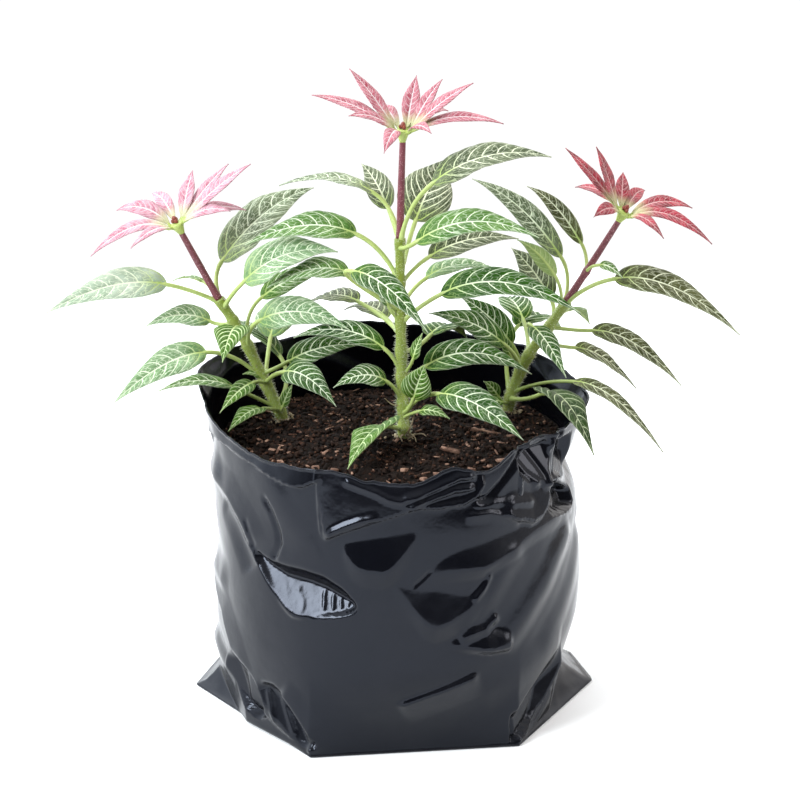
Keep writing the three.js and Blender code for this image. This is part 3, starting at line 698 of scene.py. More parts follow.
def make_stem(side, stem):
    line = curve_through(stem["axis"])
    bm = bmesh.new()
    stations = along_line(line, lambda share, at: stem_radius(stem, share, at.z))
    add_rod(bm, stations, STEM_SIDES, ribbing=0.035)
    close_up(bm)
    add_piece(f"{side}_stem_green", bm, [STEM], "green_stem", f"{side}_stem")
    return line


def make_stalk(side, stem):
    line = curve_through(stalk_points(stem))

    def radius_at(share, at):
        foot = STALK_FOOT_SWELL * float(bell(share / 0.05))
        knuckle = KNUCKLE_SWELL * float(bell((at.z - KNUCKLE) / KNUCKLE_REACH)) if side == "right" else 0.0
        return mix(*stem["stalk_radius"], share) + knuckle + foot

    bm = bmesh.new()
    add_rod(bm, along_line(line, radius_at), STALK_SIDES, ribbing=0.03)
    close_up(bm)
    add_piece(f"{side}_stalk_red", bm, [STALK], "red_stalk", f"{side}_stalk")
    return line


def turned_away(ahead, turn):
    """A direction square to ahead, turned round it."""
    across = ahead.orthogonal().normalized()
    return across * math.cos(turn) + ahead.cross(across) * math.sin(turn)


def hair_placing(at, out, length, rng):
    lean = out + UP * rng.uniform(-0.1, 0.5) + Vector([rng.uniform(-0.35, 0.35) for _ in range(3)])
    turn = lean.to_track_quat("Z", "Y").to_matrix().to_4x4()
    return Matrix.Translation(at) @ turn @ Matrix.Diagonal((1, 1, length, 1))


def one_hair(bm, placing):
    bmesh.ops.create_cone(bm, cap_ends=True, segments=3, radius1=HAIR_RADIUS, radius2=HAIR_TIP, depth=1,
                          matrix=placing @ Matrix.Translation((0, 0, 0.5)))


def make_hairs(side, stem, line, leaf_lines):
    """Short white hairs all over the stem, and thinly along the leaf stalks."""
    rng = random.Random(SEED + len(side))
    placings = []
    top = line[-1].z
    for _ in range(stem["hairs"]):
        height = HAIR_FOOT + (top - HAIR_FOOT) * rng.random() ** HAIR_CROWDING
        at = point_at_height(line, height)
        ahead = (point_at_height(line, height + 2) - point_at_height(line, height - 2)).normalized()
        out = turned_away(ahead, rng.uniform(0, 2 * math.pi))
        share = (height - line[0].z) / (top - line[0].z)
        skin = at + out * (stem_radius(stem, share, height) - 0.1)
        length = rng.uniform(*HAIR_LENGTH) * mix(*HAIR_THINNING, share)
        placings.append(hair_placing(skin, out, length, rng))
    for blade, radius in leaf_lines:
        for _ in range(STALK_HAIRS):
            at, ahead = blade.stalk(rng.uniform(0.08, 1.0))
            out = turned_away(ahead, rng.uniform(0, 2 * math.pi))
            length = rng.uniform(*STALK_HAIR_LENGTH)
            placings.append(hair_placing(at + out * (radius * 0.9), out, length, rng))
    add_piece(f"{side}_stem_hairs", heap(placings, one_hair), [HAIR], "green_stem")


# ---------------------------------------------------------------- leaves

# One row per leaf: the height where it leaves its stem, where its blade starts, its tip, the
# blade's width, how far its rib arches above the straight line, the way its upper side looks,
# and its tone.
LEAVES = {
    "left": [
        # Painted sheen: this leaf's tone is lighter to stand for the shine it catches.
        (181, (-102, 10, 191), (-155.5, -2, 180.5), 16.5, 11, (0, -0.8, 0.6), "silver_sheen"),
        (181, (-78.5, 24, 198), (-37, 38, 229), 24, 12, (-0.7, -0.7, 0.3), "grey"),
        (179, (-67, 4, 194), (-25, -6, 210), 25, 12, (0, -0.5, 0.85), "pale"),
        (162, (-61, 24, 181), (-27, 36, 193), 12, 6, (0, -0.7, 0.7), "fresh"),
        (172, (-84, 20, 171), (-113, 15, 170), 13, 8, (0, -0.6, 0.8), "pale"),
        (143, (-85, 8, 160), (-126, -10, 141), 17, 10, (0, -0.7, 0.7), "pale"),
        (130, (-72, 6, 143.5), (-104, -18, 150), 12, 8, (0, -0.3, 0.9), "fresh"),
        (142, (-64, 4, 147), (-77, -23, 141.5), 9, 4, (0.4, -0.3, 0.9), "bright"),
        (142, (-50, 4, 152), (-26, -16, 142), 17, 9, (0.1, -0.6, 0.8), "deep"),
        (159, (-61, 7, 175), (-20, -8, 175), 18, 12, (0, -0.7, 0.7), "pale"),
        (143, (-58, 39, 158), (-54, 76, 160), 20, 10, (0, -0.7, 0.75), "pale"),
        (147, (-49, 16, 153), (-15, 19, 160), 15, 6, (0, -0.6, 0.8), "deep"),
        (131, (-54, 42, 148), (-80, 66, 158), 17, 10, (-0.2, 0.4, 0.9), "deep"),
    ],
    "centre": [
        (214, (-10, 2, 235), (-51, 10, 236), 13, 10, (0, -0.1, 1), "grey"),
        (213, (16, -14, 242), (66, -26, 256), 19, 13, (0, -0.5, 0.85), "dull"),
        (196, (9, 10, 220), (23, 34, 243), 27, 5, (-0.1, -0.9, 0.4), "dull"),
        (212, (9, -17, 217), (61, -34, 223), 17, 16, (0, -0.6, 0.8), "fresh"),
        (195, (15, 1, 206), (55, 14, 211), 14, 8, (0, -0.6, 0.8), "dull"),
        (180, (14, 14, 193), (53, 30, 189), 16, 12, (0, -0.1, 1), "pale"),
        (178, (20, -14, 193), (80, -27, 188), 18, 18, (0, -0.6, 0.8), "deep"),
        (196, (-17, -2, 217), (-66, 2, 211), 18, 12, (0, -0.5, 0.85), "fresh"),
        (179, (-20, -4, 200), (-56, -7, 194), 18, 9, (0, -0.3, 0.9), "fresh"),
        (184, (-18, -24, 206), (14, -47, 185), 16, 10, (0.2, -0.6, 0.8), "deep"),
        (173, (-17, 22, 180), (-44, 44, 171), 16, 8, (0, -0.2, 1), "dull"),
        (168, (-4, 22, 172), (-24, 50, 168), 15, 8, (0, -0.1, 1), "dull"),
        (153, (-5, -9, 167), (-45, -3, 170), 14, 12, (0, -0.5, 0.85), "deep"),
        (140, (-4, -13, 153), (-27, -23, 153), 13, 8, (0, -0.6, 0.8), "deep"),
        (129, (-2, -15, 132.5), (-20, -60, 128.5), 22, 12, (-0.5, -0.65, 0.65), "bright"),
        (136, (19, -22, 150), (55, -50, 138), 20, 9, (0.1, -0.55, 0.8), "deep"),
        (153, (13, -8, 158), (61, -3, 153), 17, 16, (0, -0.6, 0.8), "deep"),
        (165, (16, 22, 164), (34, 58, 152), 18, 10, (0, 0.1, 1), "deep"),
    ],
    "right": [
        (177, (99, 20, 191), (155, 8, 168), 17, 16, (0.3, -0.6, 0.75), "olive"),
        (176, (76, 36, 197), (35, 43, 232), 12.5, 12, (-0.2, -0.6, 0.6), "grey"),
        (174, (72, 18, 193), (54, 4, 213), 8.5, 5, (-0.5, 0.2, 0.7), "fresh"),
        (165, (72, 42, 176), (54, 54, 197), 16, 5, (-0.3, -0.8, 0.4), "dull"),
        (166, (90, 26, 165), (131, 18, 141), 13, 12, (0.2, -0.5, 0.8), "olive"),
        (159, (84, 42, 152), (114, 48, 130), 13, 8, (0.2, -0.3, 0.9), "olive"),
        (132, (81, 15, 144), (121, -4, 116.5), 11, 14, (0.4, -0.4, 0.8), "olive"),
        # Painted shade: this leaf takes the darker tone of a leaf in shadow.
        (129, (66, 0, 143), (86, -44, 129), 21, 18, (0.4, -0.5, 0.75), "shade"),
        (159, (62, 16, 170), (76, -8, 153), 13, 5, (0.3, -0.6, 0.7), "deep"),
        (144, (54, 34, 156), (30, 41, 177), 14, 6, (-0.2, -0.7, 0.6), "deep"),
        (151, (60, 52, 163), (50, 84, 163), 17, 10, (0, 0.1, 1), "deep"),
        (142, (50, 20, 160), (15, 9, 178), 16, 7, (0, -0.6, 0.8), "deep"),
        (130, (58, 58, 158), (82, 88, 147), 18, 12, (0.3, 0.3, 0.9), "deep"),
    ],
}
YOUNG_LEAVES = {
    "left": [
        (177, (-87, 23, 189), (-102, 31, 187), 7, 4, (0, 0.2, 1), "fresh"),
        (166, (-71, 5, 172.5), (-76, -14, 162), 18, 7, (-0.2, -0.7, 0.6), "bright"),
        (129, (-60, 6, 134), (-74, -18, 131), 12, 5, (-0.2, -0.4, 0.9), "bright"),
        (126, (-51.5, 15, 132), (-46.5, 12, 144), 6, 1, (-0.5, -0.8, 0.3), "bright"),
        (141, (-62, 16, 146), (-69, 10, 149), 4.5, 2, (0, -0.5, 0.9), "bright"),
    ],
    "centre": [
        (211, (-3, 9, 226), (-15, 28, 242), 13, 5, (-0.2, -0.8, 0.4), "dull"),
        (137, (8, -20, 147), (13, -25, 164), 15, 2, (0, -0.9, 0.45), "bright"),
        (134, (11, -19, 141), (24, -27, 140), 8, 3, (0.2, -0.5, 0.8), "bright"),
        (154, (8, -12, 163), (12, -16, 176), 6.5, 1, (-0.6, -0.7, 0.3), "bright"),
        (179, (-3, -11, 187), (-8, -14, 198), 5, 1, (0.3, -0.9, 0.3), "fresh"),
    ],
    "right": [
        (174, (80, 40, 171), (92, 58, 159), 11, 6, (0.2, 0.3, 0.9), "fresh"),
        (126, (48, 33, 131), (41, 28, 140), 7, 2, (0.2, -0.8, 0.4), "bright"),
        (127, (50, 30, 129), (40, 22, 131), 6, 2, (0, -0.6, 0.8), "bright"),
        (143, (53, 32, 152), (48, 28, 163), 6, 1, (0.4, -0.8, 0.3), "bright"),
    ],
}
FIRST_YOUNG = 20                 # numbers of the young leaves, past those of the others
FIRST_ON_STALK = 30
STALK_LEAVES = {
    "right_stalk_leaf": (KNUCKLE, (85, 33, 204), (60, 41, 229), 9, 9, (-0.6, -0.3, 0.6), "olive"),
    "right_young_leaf": (KNUCKLE, (92, 18, 198), (102, 14, 193), 6, 3, (0, -0.5, 0.8), "fresh"),
}
LEAF_BELLY = 0.6                 # below 1, the widest place moves towards the base
BOW = 1.08                       # a blade is about this much longer along its rib than straight
PETIOLE_RADIUS = 1.0
PETIOLE_THINNING = (0.55, 40)    # a narrow leaf's stalk is thinner: this share, plus its width over this
PETIOLE_SIDES = 10
LATERALS = 8.5                   # side veins on each half of a long leaf
LEAST_SPACING = 2.6              # they never lie closer together
LEAF_THICKNESS = 0.5
LEAF_MESH = (26, 56)             # faces across and along a blade
LEAF_QUILT = 0.028               # height of the quilting, as a share of the width
LEAF_RIB_END = 0.9
YOUNG_SIZE = (12.5, 32)          # a leaf narrower and shorter than this is a young one


def make_leaf(name, line, row, number, node):
    height, start, tip, width, arch, faces, tone = row
    length = (Vector(tip) - Vector(start)).length
    spacing = max(LEAST_SPACING, BOW * length / LATERALS)
    root = point_at_height(line, height)
    blade = Blade(root, start, tip, width, arch, faces, LEAF_BELLY, spacing, number)
    least, full_width = PETIOLE_THINNING
    radius = PETIOLE_RADIUS * min(1, least + width / full_width)
    bm = bmesh.new()
    add_blade(bm, blade, *LEAF_MESH, LEAF_QUILT * width, LEAF_THICKNESS)
    add_stalk_and_rib(bm, blade, radius, PETIOLE_SIDES, LEAF_RIB_END)
    close_up(bm)
    young = width < YOUNG_SIZE[0] and length < YOUNG_SIZE[1]
    slot = "young_leaf" if young or node.endswith("_stem") else "leaf"
    add_piece(name, bm, [LEAF_TONES[tone], UNDERSIDE, PETIOLE], slot, node)
    return blade, radius


# ---------------------------------------------------------------- rosettes

# Where each bract's tip lies from the heart of its rosette, its width and its arch.
BRACTS = {
    "left": [
        ((-38, -8, -12), 7.5, 12), ((-19, -18, -6), 6, 6), ((-28, 8, 5), 9.5, 9), ((6, 13, 22), 8.5, 3),
        ((22, 13, 25), 7, 3), ((33, -2, 28), 8, 4), ((24, -7, 8), 6.5, 6), ((-14, 25, 9), 7.5, 7),
        ((12, 27, 5), 7.5, 8), ((29, 17, 3), 7, 7),
    ],
    "centre": [
        ((-23, 10, 26), 7.5, 3), ((-39, 2, 16), 7.5, 6), ((-23, -9, 9), 7, 6), ((-8, -15, -6), 7.5, 7),
        ((6, 11, 23), 8.5, 2), ((17, 7, 22), 7, 3), ((30, -3, 22), 8, 4), ((43, -6, 5), 7, 9),
        ((12, -17, 3), 6.5, 6), ((-13, 27, 6), 7.5, 8), ((20, 25, 5), 7.5, 8),
    ],
    "right": [
        ((-26, 4, 29), 7, 3), ((-13, -3, 31), 8, 3), ((1, 14, 16), 7.5, 3), ((12, 21, 6), 7, 6),
        ((32, 7, 1), 7.5, 9), ((40, -4, -13), 7.5, 13), ((17, -14, -8), 6, 7), ((-14, -11, 1), 7, 5),
        ((-20, 19, 8), 7, 7), ((4, 29, 3), 7, 8),
    ],
}
BRACT_BELLY = 0.92
BRACT_MESH = (12, 36)
BRACT_QUILT = 0.02
BRACT_THICKNESS = 0.4
BRACT_RIB_END = 0.75
BRACT_TURN = Vector((0, -0.75, 0.2))
BRACT_OPENNESS = 0.5
BRACT_ROOT = (0.9, -0.4)
BRACT_START = (3.6, 0.9)
BRACT_BASE_RADIUS = 0.7
BRACT_BASE_SIDES = 8
CUP_SIDES = 28
CUP_RADIUS = 3.2
CUP_HEIGHT = 6
CUP_TOP = 0.26
CUP_PROFILE = ((0.44, -0.66), (0.5, -0.56), (0.6, -0.4), (0.72, -0.24), (0.86, -0.06), (1, 0.12),
               (0.96, 0.2), (0.8, CUP_TOP), (0.4, 0.3))
BUD_RADIUS = 1.3
BUD_STRETCH = 1.15
BUD_SIDES = 14
# Turn, distance out and size of each bud of a rosette, the middle one first.
BUDS = ((0, 0, 1), (0.6, 1.4, 0.72), (2.6, 1.2, 0.6), (4.3, 1.5, 0.66))
BUD_PROFILE = ((0.35, -1), (0.8, -0.7), (1, -0.2), (0.9, 0.3), (0.6, 0.75), (0.25, 1.05))


def make_rosette(side, stem):
    heart = Vector(stem["heart"])
    lean = (heart - Vector(stem["stalk"][0])).normalized()
    for number, (reach, width, arch) in enumerate(BRACTS[side]):
        away = Vector(reach).normalized()
        outward = (away - lean * away.dot(lean)).normalized()
        faces = lean - outward * BRACT_OPENNESS + BRACT_TURN
        root, start = (heart + outward * out + lean * up for out, up in (BRACT_ROOT, BRACT_START))
        blade = Blade(root, start, heart + Vector(reach), width, arch, faces, BRACT_BELLY, LEAST_SPACING,
                      number)
        bm = bmesh.new()
        add_blade(bm, blade, *BRACT_MESH, BRACT_QUILT * width, BRACT_THICKNESS)
        add_stalk_and_rib(bm, blade, BRACT_BASE_RADIUS, BRACT_BASE_SIDES, BRACT_RIB_END)
        close_up(bm)
        tone = BRACT_TONES[side]
        name = f"{side}_bract_{number + 1:02d}"
        add_piece(name, bm, [tone, tone, CUP], f"{side}_bract", f"{side}_bracts")
    bm = bmesh.new()
    cup = [(heart + lean * (z * CUP_HEIGHT), lean, r * CUP_RADIUS) for r, z in CUP_PROFILE]
    add_rod(bm, cup, CUP_SIDES, ribbing=0.05)
    close_up(bm)
    add_piece(f"{side}_cup", bm, [CUP], f"{side}_bract", f"{side}_bracts")
    make_buds(side, heart, lean)


def make_buds(side, heart, lean):
    """One bud in the middle of the rosette, with smaller ones against it."""
    seat = heart + lean * (CUP_TOP * CUP_HEIGHT + BUD_STRETCH * BUD_RADIUS + TOUCH_GAP)
    bm = bmesh.new()
    for turn, out, size in BUDS:
        way = turned_away(lean, turn)
        at = seat + way * out - lean * (0.5 * out)
        tilt = (lean + way * (0.3 * out)).normalized()
        profile = [(at + tilt * (z * BUD_STRETCH * BUD_RADIUS * size), tilt, r * BUD_RADIUS * size)
                   for r, z in BUD_PROFILE]
        add_rod(bm, profile, BUD_SIDES, ribbing=0.08)
    close_up(bm)
    add_piece(f"{side}_bud_red", bm, [BUD], "bud", f"{side}_bud")


# ---------------------------------------------------------------- the bag's shape

BAG_RADIUS = 81
BODY_BULGE = 1.5
FULL_ROUND_HEIGHT = 46
SOIL_EDGE = 120
SOIL_MOUND = 5
SOIL_LUMP = 0.7
MOUND_STEEPNESS = 2.2
LUMP_STEEPNESS = 6
NECK_DROP = 7
NECK_FLARE = 0.3
NECK_ABOVE_SOIL = 3
FILM = 0.5                       # thickness at the visible rim
HEM_FADE = 6                     # folds die out over this height above the floor
EAR_OUTLINE = [(-37, -75), (55, -64), (93, 3), (85, 33), (45, 73), (-45, 73), (-85, 28), (-93.5, -2)]
BODY_OUTLINE = [(-37, -74.5), (55, -63.5), (70, -32), (76, 3), (72, 34), (44, 71),
                (-44, 71), (-76, 34), (-82, -2), (-67, -42)]
RIM = [
    (-165, 84, 141), (-150, 81, 136), (-133, 80, 132.5), (-110, 80, 133), (-97, 80, 129.5),
    (-85, 80, 128.5), (-72, 80, 134.5), (-61, 80, 130.5), (-50, 80, 137.5), (-42, 79, 139),
    (-25, 82, 138.5), (-8, 84.5, 137), (10, 89, 138), (24, 87, 142), (43, 83, 148),
    (64, 80, 149), (85, 80, 152), (103, 80, 154), (130, 82, 150), (154, 86, 152),
    (172, 90, 150),
]
# Broad dents and bulges: angle, height, half angle, half height, depth.
DENTS = [
    (-4, 115, 18, 8.5, -7.5), (-1, 85.5, 12, 4.5, -1.6), (0, 60, 32, 26, 2.2),
    (-178, 74, 15, 13, -2.4), (-62, 118, 20, 8, -1.2), (-128, 96, 15, 14, -1.2), (-75, 66, 22, 16, -1.0),
    (60, 84, 22, 22, -2.2), (112, 62, 24, 26, 1.8), (150, 104, 18, 16, -2), (92, 112, 18, 12, -1.6),
]
ROUNDED = 0                      # a fold with this for its sharpness has a soft crest
# Folds of the film: a line of (angle, height), how far it stands proud, how far the rise reaches
# to the left and to the right of the line, seen from outside along its direction, and how sharp it is.
FOLDS = [
    # the corner of film folded over under the front edge: its left and lower edges, and the ridge inside
    ([(-113.6, 140), (-113.7, 124.8), (-113.4, 115.9), (-112.8, 106), (-112, 102.5)], 0.9, 11, 0.7, 1.2),
    ([(-113.4, 103.6), (-111.3, 102.8), (-104.7, 107.6), (-97.2, 112), (-88.8, 116.3), (-79.7, 120.2)],
     1.5, 20, 0.8, 1.2),
    ([(-111, 103.4), (-108.4, 107.2), (-104.7, 110.2), (-100.2, 113), (-94.5, 115.4)], 1.3, 2.2, 2.0, 1.0),
    # creases on the left
    ([(-178, 115), (-165, 112.5), (-153, 108.3), (-146.5, 102.5), (-142.5, 96.9), (-140.2, 88.8)],
     1.5, 12, 5.5, 1.3),
    ([(-134.5, 117), (-130.5, 110.1), (-128.2, 102.7), (-127.5, 96.5), (-128.8, 91), (-131, 87)],
     -1.15, 2.0, 2.7, 1.1),
    ([(-143, 103), (-140.4, 96), (-138.6, 90)], -0.5, 2.5, 1.4, 1.2),
    ([(-158, 104), (-149.5, 96), (-143.5, 87), (-139, 78)], -1.1, 8, 9, ROUNDED),
    ([(-178, 66), (-168, 57), (-159, 50), (-153, 38), (-149, 22)], 1.5, 13, 6, 1.2),
    ([(-142, 91), (-139.2, 88), (-136, 84)], 0.9, 2.2, 2.4, ROUNDED),
    ([(-137, 132), (-126, 113), (-119, 103), (-115, 96)], 0.6, 9, 14, ROUNDED),
    ([(-112, 98), (-119, 93.6), (-130, 89.5)], 0.4, 6, 9, ROUNDED),
    # rolls of film along the front edge, which run together on the left
    ([(-106, 130.2), (-95.7, 125.8), (-91.4, 122.9), (-86, 121.6)], 1.5, 2.0, 2.6, 1.2),
    ([(-89, 122), (-82.6, 124.2), (-75.2, 128), (-70.5, 130.4), (-64, 130)], 2.0, 3.4, 1.7, 1.2),
    ([(-86, 120.6), (-80, 121.8), (-72.2, 125), (-64.6, 125.2)], 2.1, 2.8, 1.5, 1.2),
    ([(-88, 119.3), (-77, 118.2), (-69, 118.8), (-64.6, 121.4), (-62.6, 126), (-63, 131)],
     1.9, 3.2, 1.0, 1.2),
    ([(-65, 119), (-60.8, 119.9), (-55.5, 126.5), (-49.8, 134.5), (-46.4, 141)], -1.9, 1.3, 3.5, 1.2),
    # shallow rolls under the knot's flap
    ([(-67, 117), (-57.2, 116.6), (-50, 115.2), (-42, 113)], 1.1, 1.6, 3.6, 1.2),
    ([(-69, 113.6), (-60, 113), (-54, 110), (-48, 105.4)], 1.4, 1.6, 4.2, 1.2),
    # the knot on the right: the lobe that hangs over, and the creases that meet above it
    ([(-34.6, 121), (-33.9, 113.9), (-36.2, 111.6), (-37.7, 107.7), (-39.8, 105.3), (-44.1, 103.9),
      (-47.7, 106.2), (-51.8, 109), (-57, 114)], 2.6, 2.2, 13, 1.3),
    ([(-48.4, 116), (-48, 127.7), (-46.5, 133.4), (-43.5, 141)], 1.1, 1.6, 1.4, 1.2),
    ([(-35.4, 115), (-37.2, 127.2), (-34.5, 133.4), (-30, 142)], 2.4, 5, 1.5, 1.2),
    ([(-31.6, 118), (-31.3, 128.8), (-27, 141)], -1.5, 2.2, 2.4, 1.2),
    ([(-35, 117.4), (-29, 117.6), (-24, 116)], 1.6, 1.6, 1.6, 1.2),
    ([(-30.5, 117), (-27, 113), (-27.5, 109)], 1.5, 1.3, 2.2, 1.2),
    # the ridge between the two dark hollows, and the sliver at its end
    ([(-84.5, 83.4), (-81.6, 87), (-79, 90.8)], -1.0, 1.2, 1.2, 1.2),
    ([(-60.4, 86), (-62.6, 80.5), (-66.5, 74.5)], 1.3, 2.6, 1.6, 1.2),
    # the small pointed fold and the broad ridges that sweep from it to the right edge
    ([(-71, 57.4), (-66.9, 59.4), (-62, 60.5), (-57, 66)], 1.5, 4, 3.6, 1.2),
    ([(-71, 57.4), (-64.3, 68.8), (-54.6, 87.1), (-48, 95)], 1.1, 8, 9, ROUNDED),
    ([(-58, 47), (-45.6, 63.9), (-31, 83.5), (-19.5, 94)], 1.6, 10, 10, ROUNDED),
    ([(-40, 40), (-24, 60), (-10, 80), (-2, 96)], 0.9, 9, 11, ROUNDED),
    ([(-90, 25.4), (-84.8, 28.6), (-79.4, 31.6), (-72, 35.6), (-63, 40)], 1.9, 2.2, 13, 1.2),
    ([(-64, 26), (-48, 37), (-25, 40)], 1.0, 12, 13, ROUNDED),
    # the bottom corners
    ([(-129.9, 25), (-125.9, 21.3), (-120.4, 12.8), (-116.8, 4), (-116, -3)], 2.0, 13, 2.6, ROUNDED),
    ([(-52, -2), (-45, 6), (-40.5, 10.5), (-33.3, 16.5), (-27.2, 23.5), (-21.1, 31)],
     1.8, 12, 4.0, ROUNDED),
    ([(-45, 0), (-38.5, 5), (-31, 10), (-24.5, 16), (-18, 23)], -1.8, 4.0, 5, ROUNDED),
]
# Flat facets between folds: the line of their upper and of their lower edge, how steeply they lean
# out towards the lower edge, how far the whole facet stands proud, and the width of its lower edge.
FACETS = [
    ([(-106.3, 102), (-95.8, 105), (-83, 108.2)],
     [(-106.3, 101.5), (-104, 96), (-100.3, 91.5), (-91.4, 90.8), (-89, 96), (-85, 102.5), (-83, 107.8)],
     0.2, 0, 9),
    ([(-91, 86), (-84, 82.4), (-75, 81), (-67.5, 77.6), (-63, 81), (-60.8, 85.6)],
     [(-91, 86), (-85.5, 75.5), (-79.8, 64.8), (-73, 66.6), (-65.4, 73.2), (-60.8, 84.6)], 0.24, 0, 9),
    ([(-80.4, 88.6), (-77.5, 94.4), (-72, 98.1), (-64, 100.4), (-53.3, 102.2), (-42, 104.5), (-30, 107),
      (-16, 106)],
     [(-80.4, 88.2), (-75, 89.9), (-67.2, 89.8), (-61.1, 89.1), (-56.9, 92.4), (-42.6, 98.6), (-28, 101),
      (-16, 101)], 0.22, 0, 6),
    ([(-74, 57), (-68, 60.5), (-60, 61.5), (-52, 56)],
     [(-74, 56), (-68, 53.5), (-60, 50.4), (-52, 50)], 0.36, 0, 3.5),
    ([(-172, 143), (-112, 143)],
     [(-172, 130), (-163, 132.6), (-152, 131.6), (-141.5, 129.8), (-135.9, 128.8), (-129.7, 126.4),
      (-124.4, 125), (-118.5, 124.6), (-113.8, 129)], 0.13, 0.9, 0.8),
]
# Places pressed in to a flat floor: the line where the film starts to go in, the crease at the deepest
# place, the line where it is out again, the way the floor faces (bearing and rise in degrees), a place
# (angle, height) that the floor passes through with its lift over the film, and how deep it may go.
PRESSED = [
    # the bright dent on the left
    ([(-138.4, 89.4), (-130.6, 88.6), (-120.5, 89.2), (-112.1, 88), (-105.5, 83.2), (-101, 75)],
     [(-138, 88.4), (-132.7, 84), (-126.2, 80.6), (-117.5, 79.4), (-112.2, 78), (-106.5, 75.6),
      (-101, 73.4)],
     [(-138, 87), (-133.4, 80), (-126.6, 69.6), (-122.6, 64.6), (-118.6, 65), (-112.6, 67.6),
      (-106.5, 69.3), (-102.8, 71.3), (-101, 73)], (-110, 30), (-118, 65.5, 0.8), 9),
    # the faces of the knot, and the pocket under them
    ([(-49.5, 132), (-46.5, 137), (-34.5, 138), (-34, 138)],
     [(-49.5, 131), (-46.5, 134.4), (-34.5, 135.5), (-34, 135.5)],
     [(-49.5, 130), (-48, 126), (-41.6, 118.5), (-36.5, 116.8), (-34, 117.5)],
     (-56, 24), (-42, 118.5, 1.5), 7),
    ([(-31, 136), (-19, 135)], [(-31, 132), (-19, 131)],
     [(-31, 119.5), (-28.8, 119), (-22, 114), (-19, 113)], (-20, 16), (-24, 116, 0.3), 5),
    ([(-36, 114), (-34, 118), (-30.2, 117), (-23.6, 112.5), (-14, 106)],
     [(-36, 112), (-34, 115), (-30.2, 113), (-23.6, 109), (-14, 103.5)],
     [(-36, 110), (-33.6, 102.6), (-23.9, 99.8), (-14, 99)], (-75, 14), (-15, 101, 0), 6.5),
    # the dark pocket beside the left ear, and the glossy facet of the corner next to it
    ([(-162, 27), (-153, 37), (-146, 33), (-141, 26), (-137, 14)],
     [(-162, 24), (-153, 28), (-146, 24), (-141, 18), (-137, 11)],
     [(-162, 22), (-153, 13), (-146, 8), (-141, 6.5), (-137, 9)], (-130, 10), (-157, 20, 0), 3.6),
    ([(-143, 19), (-138, 28), (-132, 29.5), (-126, 25), (-120, 16), (-114, 6)],
     [(-143, 18), (-138, 23), (-132, 24), (-126, 19), (-120, 11), (-114, 5)],
     [(-143, 17), (-138, 10.5), (-132, 7), (-126, 5), (-120, 4), (-114, 4.5)],
     (-119, 20), (-127, 8, 0.5), 3.6),
    # the crevice over the right ear
    ([(-52, 16), (-43, 24), (-34, 32), (-24, 41)], [(-52, 9), (-43, 15), (-34, 22), (-24, 30)],
     [(-52, 2), (-43, 6), (-34, 11.5), (-24, 18)], (-64, 16), (-32, 20, 0), 5),
]
FACET_ROUNDING = 2.4             # degrees over which the corners of a facet's outline are rounded
FACET_EASE = 1.3                 # height over which a facet turns into the film round it
FACET_ENDS = 3                   # width over which a facet fades at its two ends
LINE_ROUNDING = 1.2              # the same for the lines of a pressed place, degrees
LINE_SHARES = (-1, -0.67, -0.33, 0, 0.33, 0.67, 1)
PRESS_EDGE = 1.2                 # width of the turn at the edges of a pressed place
PRESS_BULGE = 1.0                # a pressed place may stand this far out of the film
PRESS_TURN = 75                  # a floor isn't followed further round than this, degrees
TAPER = 8                        # a fold fades over one part in this many at each end
# Small wrinkles across the pressed places, in the manner of FOLDS.
WRINKLES = [
    ([(-113.4, 77.4), (-112.2, 69.5)], 0.42, 1.0, 1.0, ROUNDED),
    ([(-110.2, 76.4), (-109.2, 70)], 0.42, 1.1, 1.1, ROUNDED),
    ([(-107.5, 75.4), (-106.6, 70.6)], 0.36, 0.9, 0.9, ROUNDED),
    ([(-105, 74.4), (-104.4, 71.4)], 0.30, 0.8, 0.8, ROUNDED),
    ([(-125, 78), (-121, 76)], 0.3, 0.9, 0.9, ROUNDED),
    ([(-48, 133), (-44.5, 125), (-40, 119)], 0.7, 2.0, 2.6, ROUNDED),
    ([(-43, 137), (-39.6, 128), (-37, 119)], -0.6, 1.8, 2.2, ROUNDED),
    ([(-137, 24), (-134, 16), (-132, 8)], 0.6, 2.2, 2.2, ROUNDED),
    ([(-132, 83), (-127.6, 79), (-124, 73)], 0.09, 1.4, 1.9, ROUNDED),
    ([(-122.5, 77), (-119.6, 72.4), (-118.8, 67.5)], 0.12, 1.6, 1.9, ROUNDED),
    ([(-131, 22), (-127, 14), (-123, 6)], 0.6, 2.2, 2.4, ROUNDED),
]
RANDOM_FOLDS = 26
# Ranges that the folds of the sides and the back are drawn from.
FOLD_ANGLE, FOLD_HEIGHT, FOLD_SLANT, FOLD_LENGTH = (6, 160), (12, 126), (0.15, 1.0), (34, 88)
FOLD_BEND, FOLD_RISE, FOLD_LEFT, FOLD_RIGHT = (-0.35, 0.35), (0.8, 2.4), (7, 17), (3, 13)
FOLD_SHARPNESS = (ROUNDED, ROUNDED, 1.3)
ARC = math.pi / 180 * BAG_RADIUS             # film length of one degree
# Gentle unevenness, as (height, size, seed) of each pattern: of the film, of its top edge, and of
# the soil's surface.
FILM_RIPPLES = ((0.7, 28, 5), (0.1, 9, 9))
EDGE_RIPPLES = ((0.7, 9, 3), (0.5, 3.5, 8))
CLODS = ((1.7, 5, 2), (1.2, 1.9, 7))


def turn_between(a, b):
    return (a - b + 180) % 360 - 180


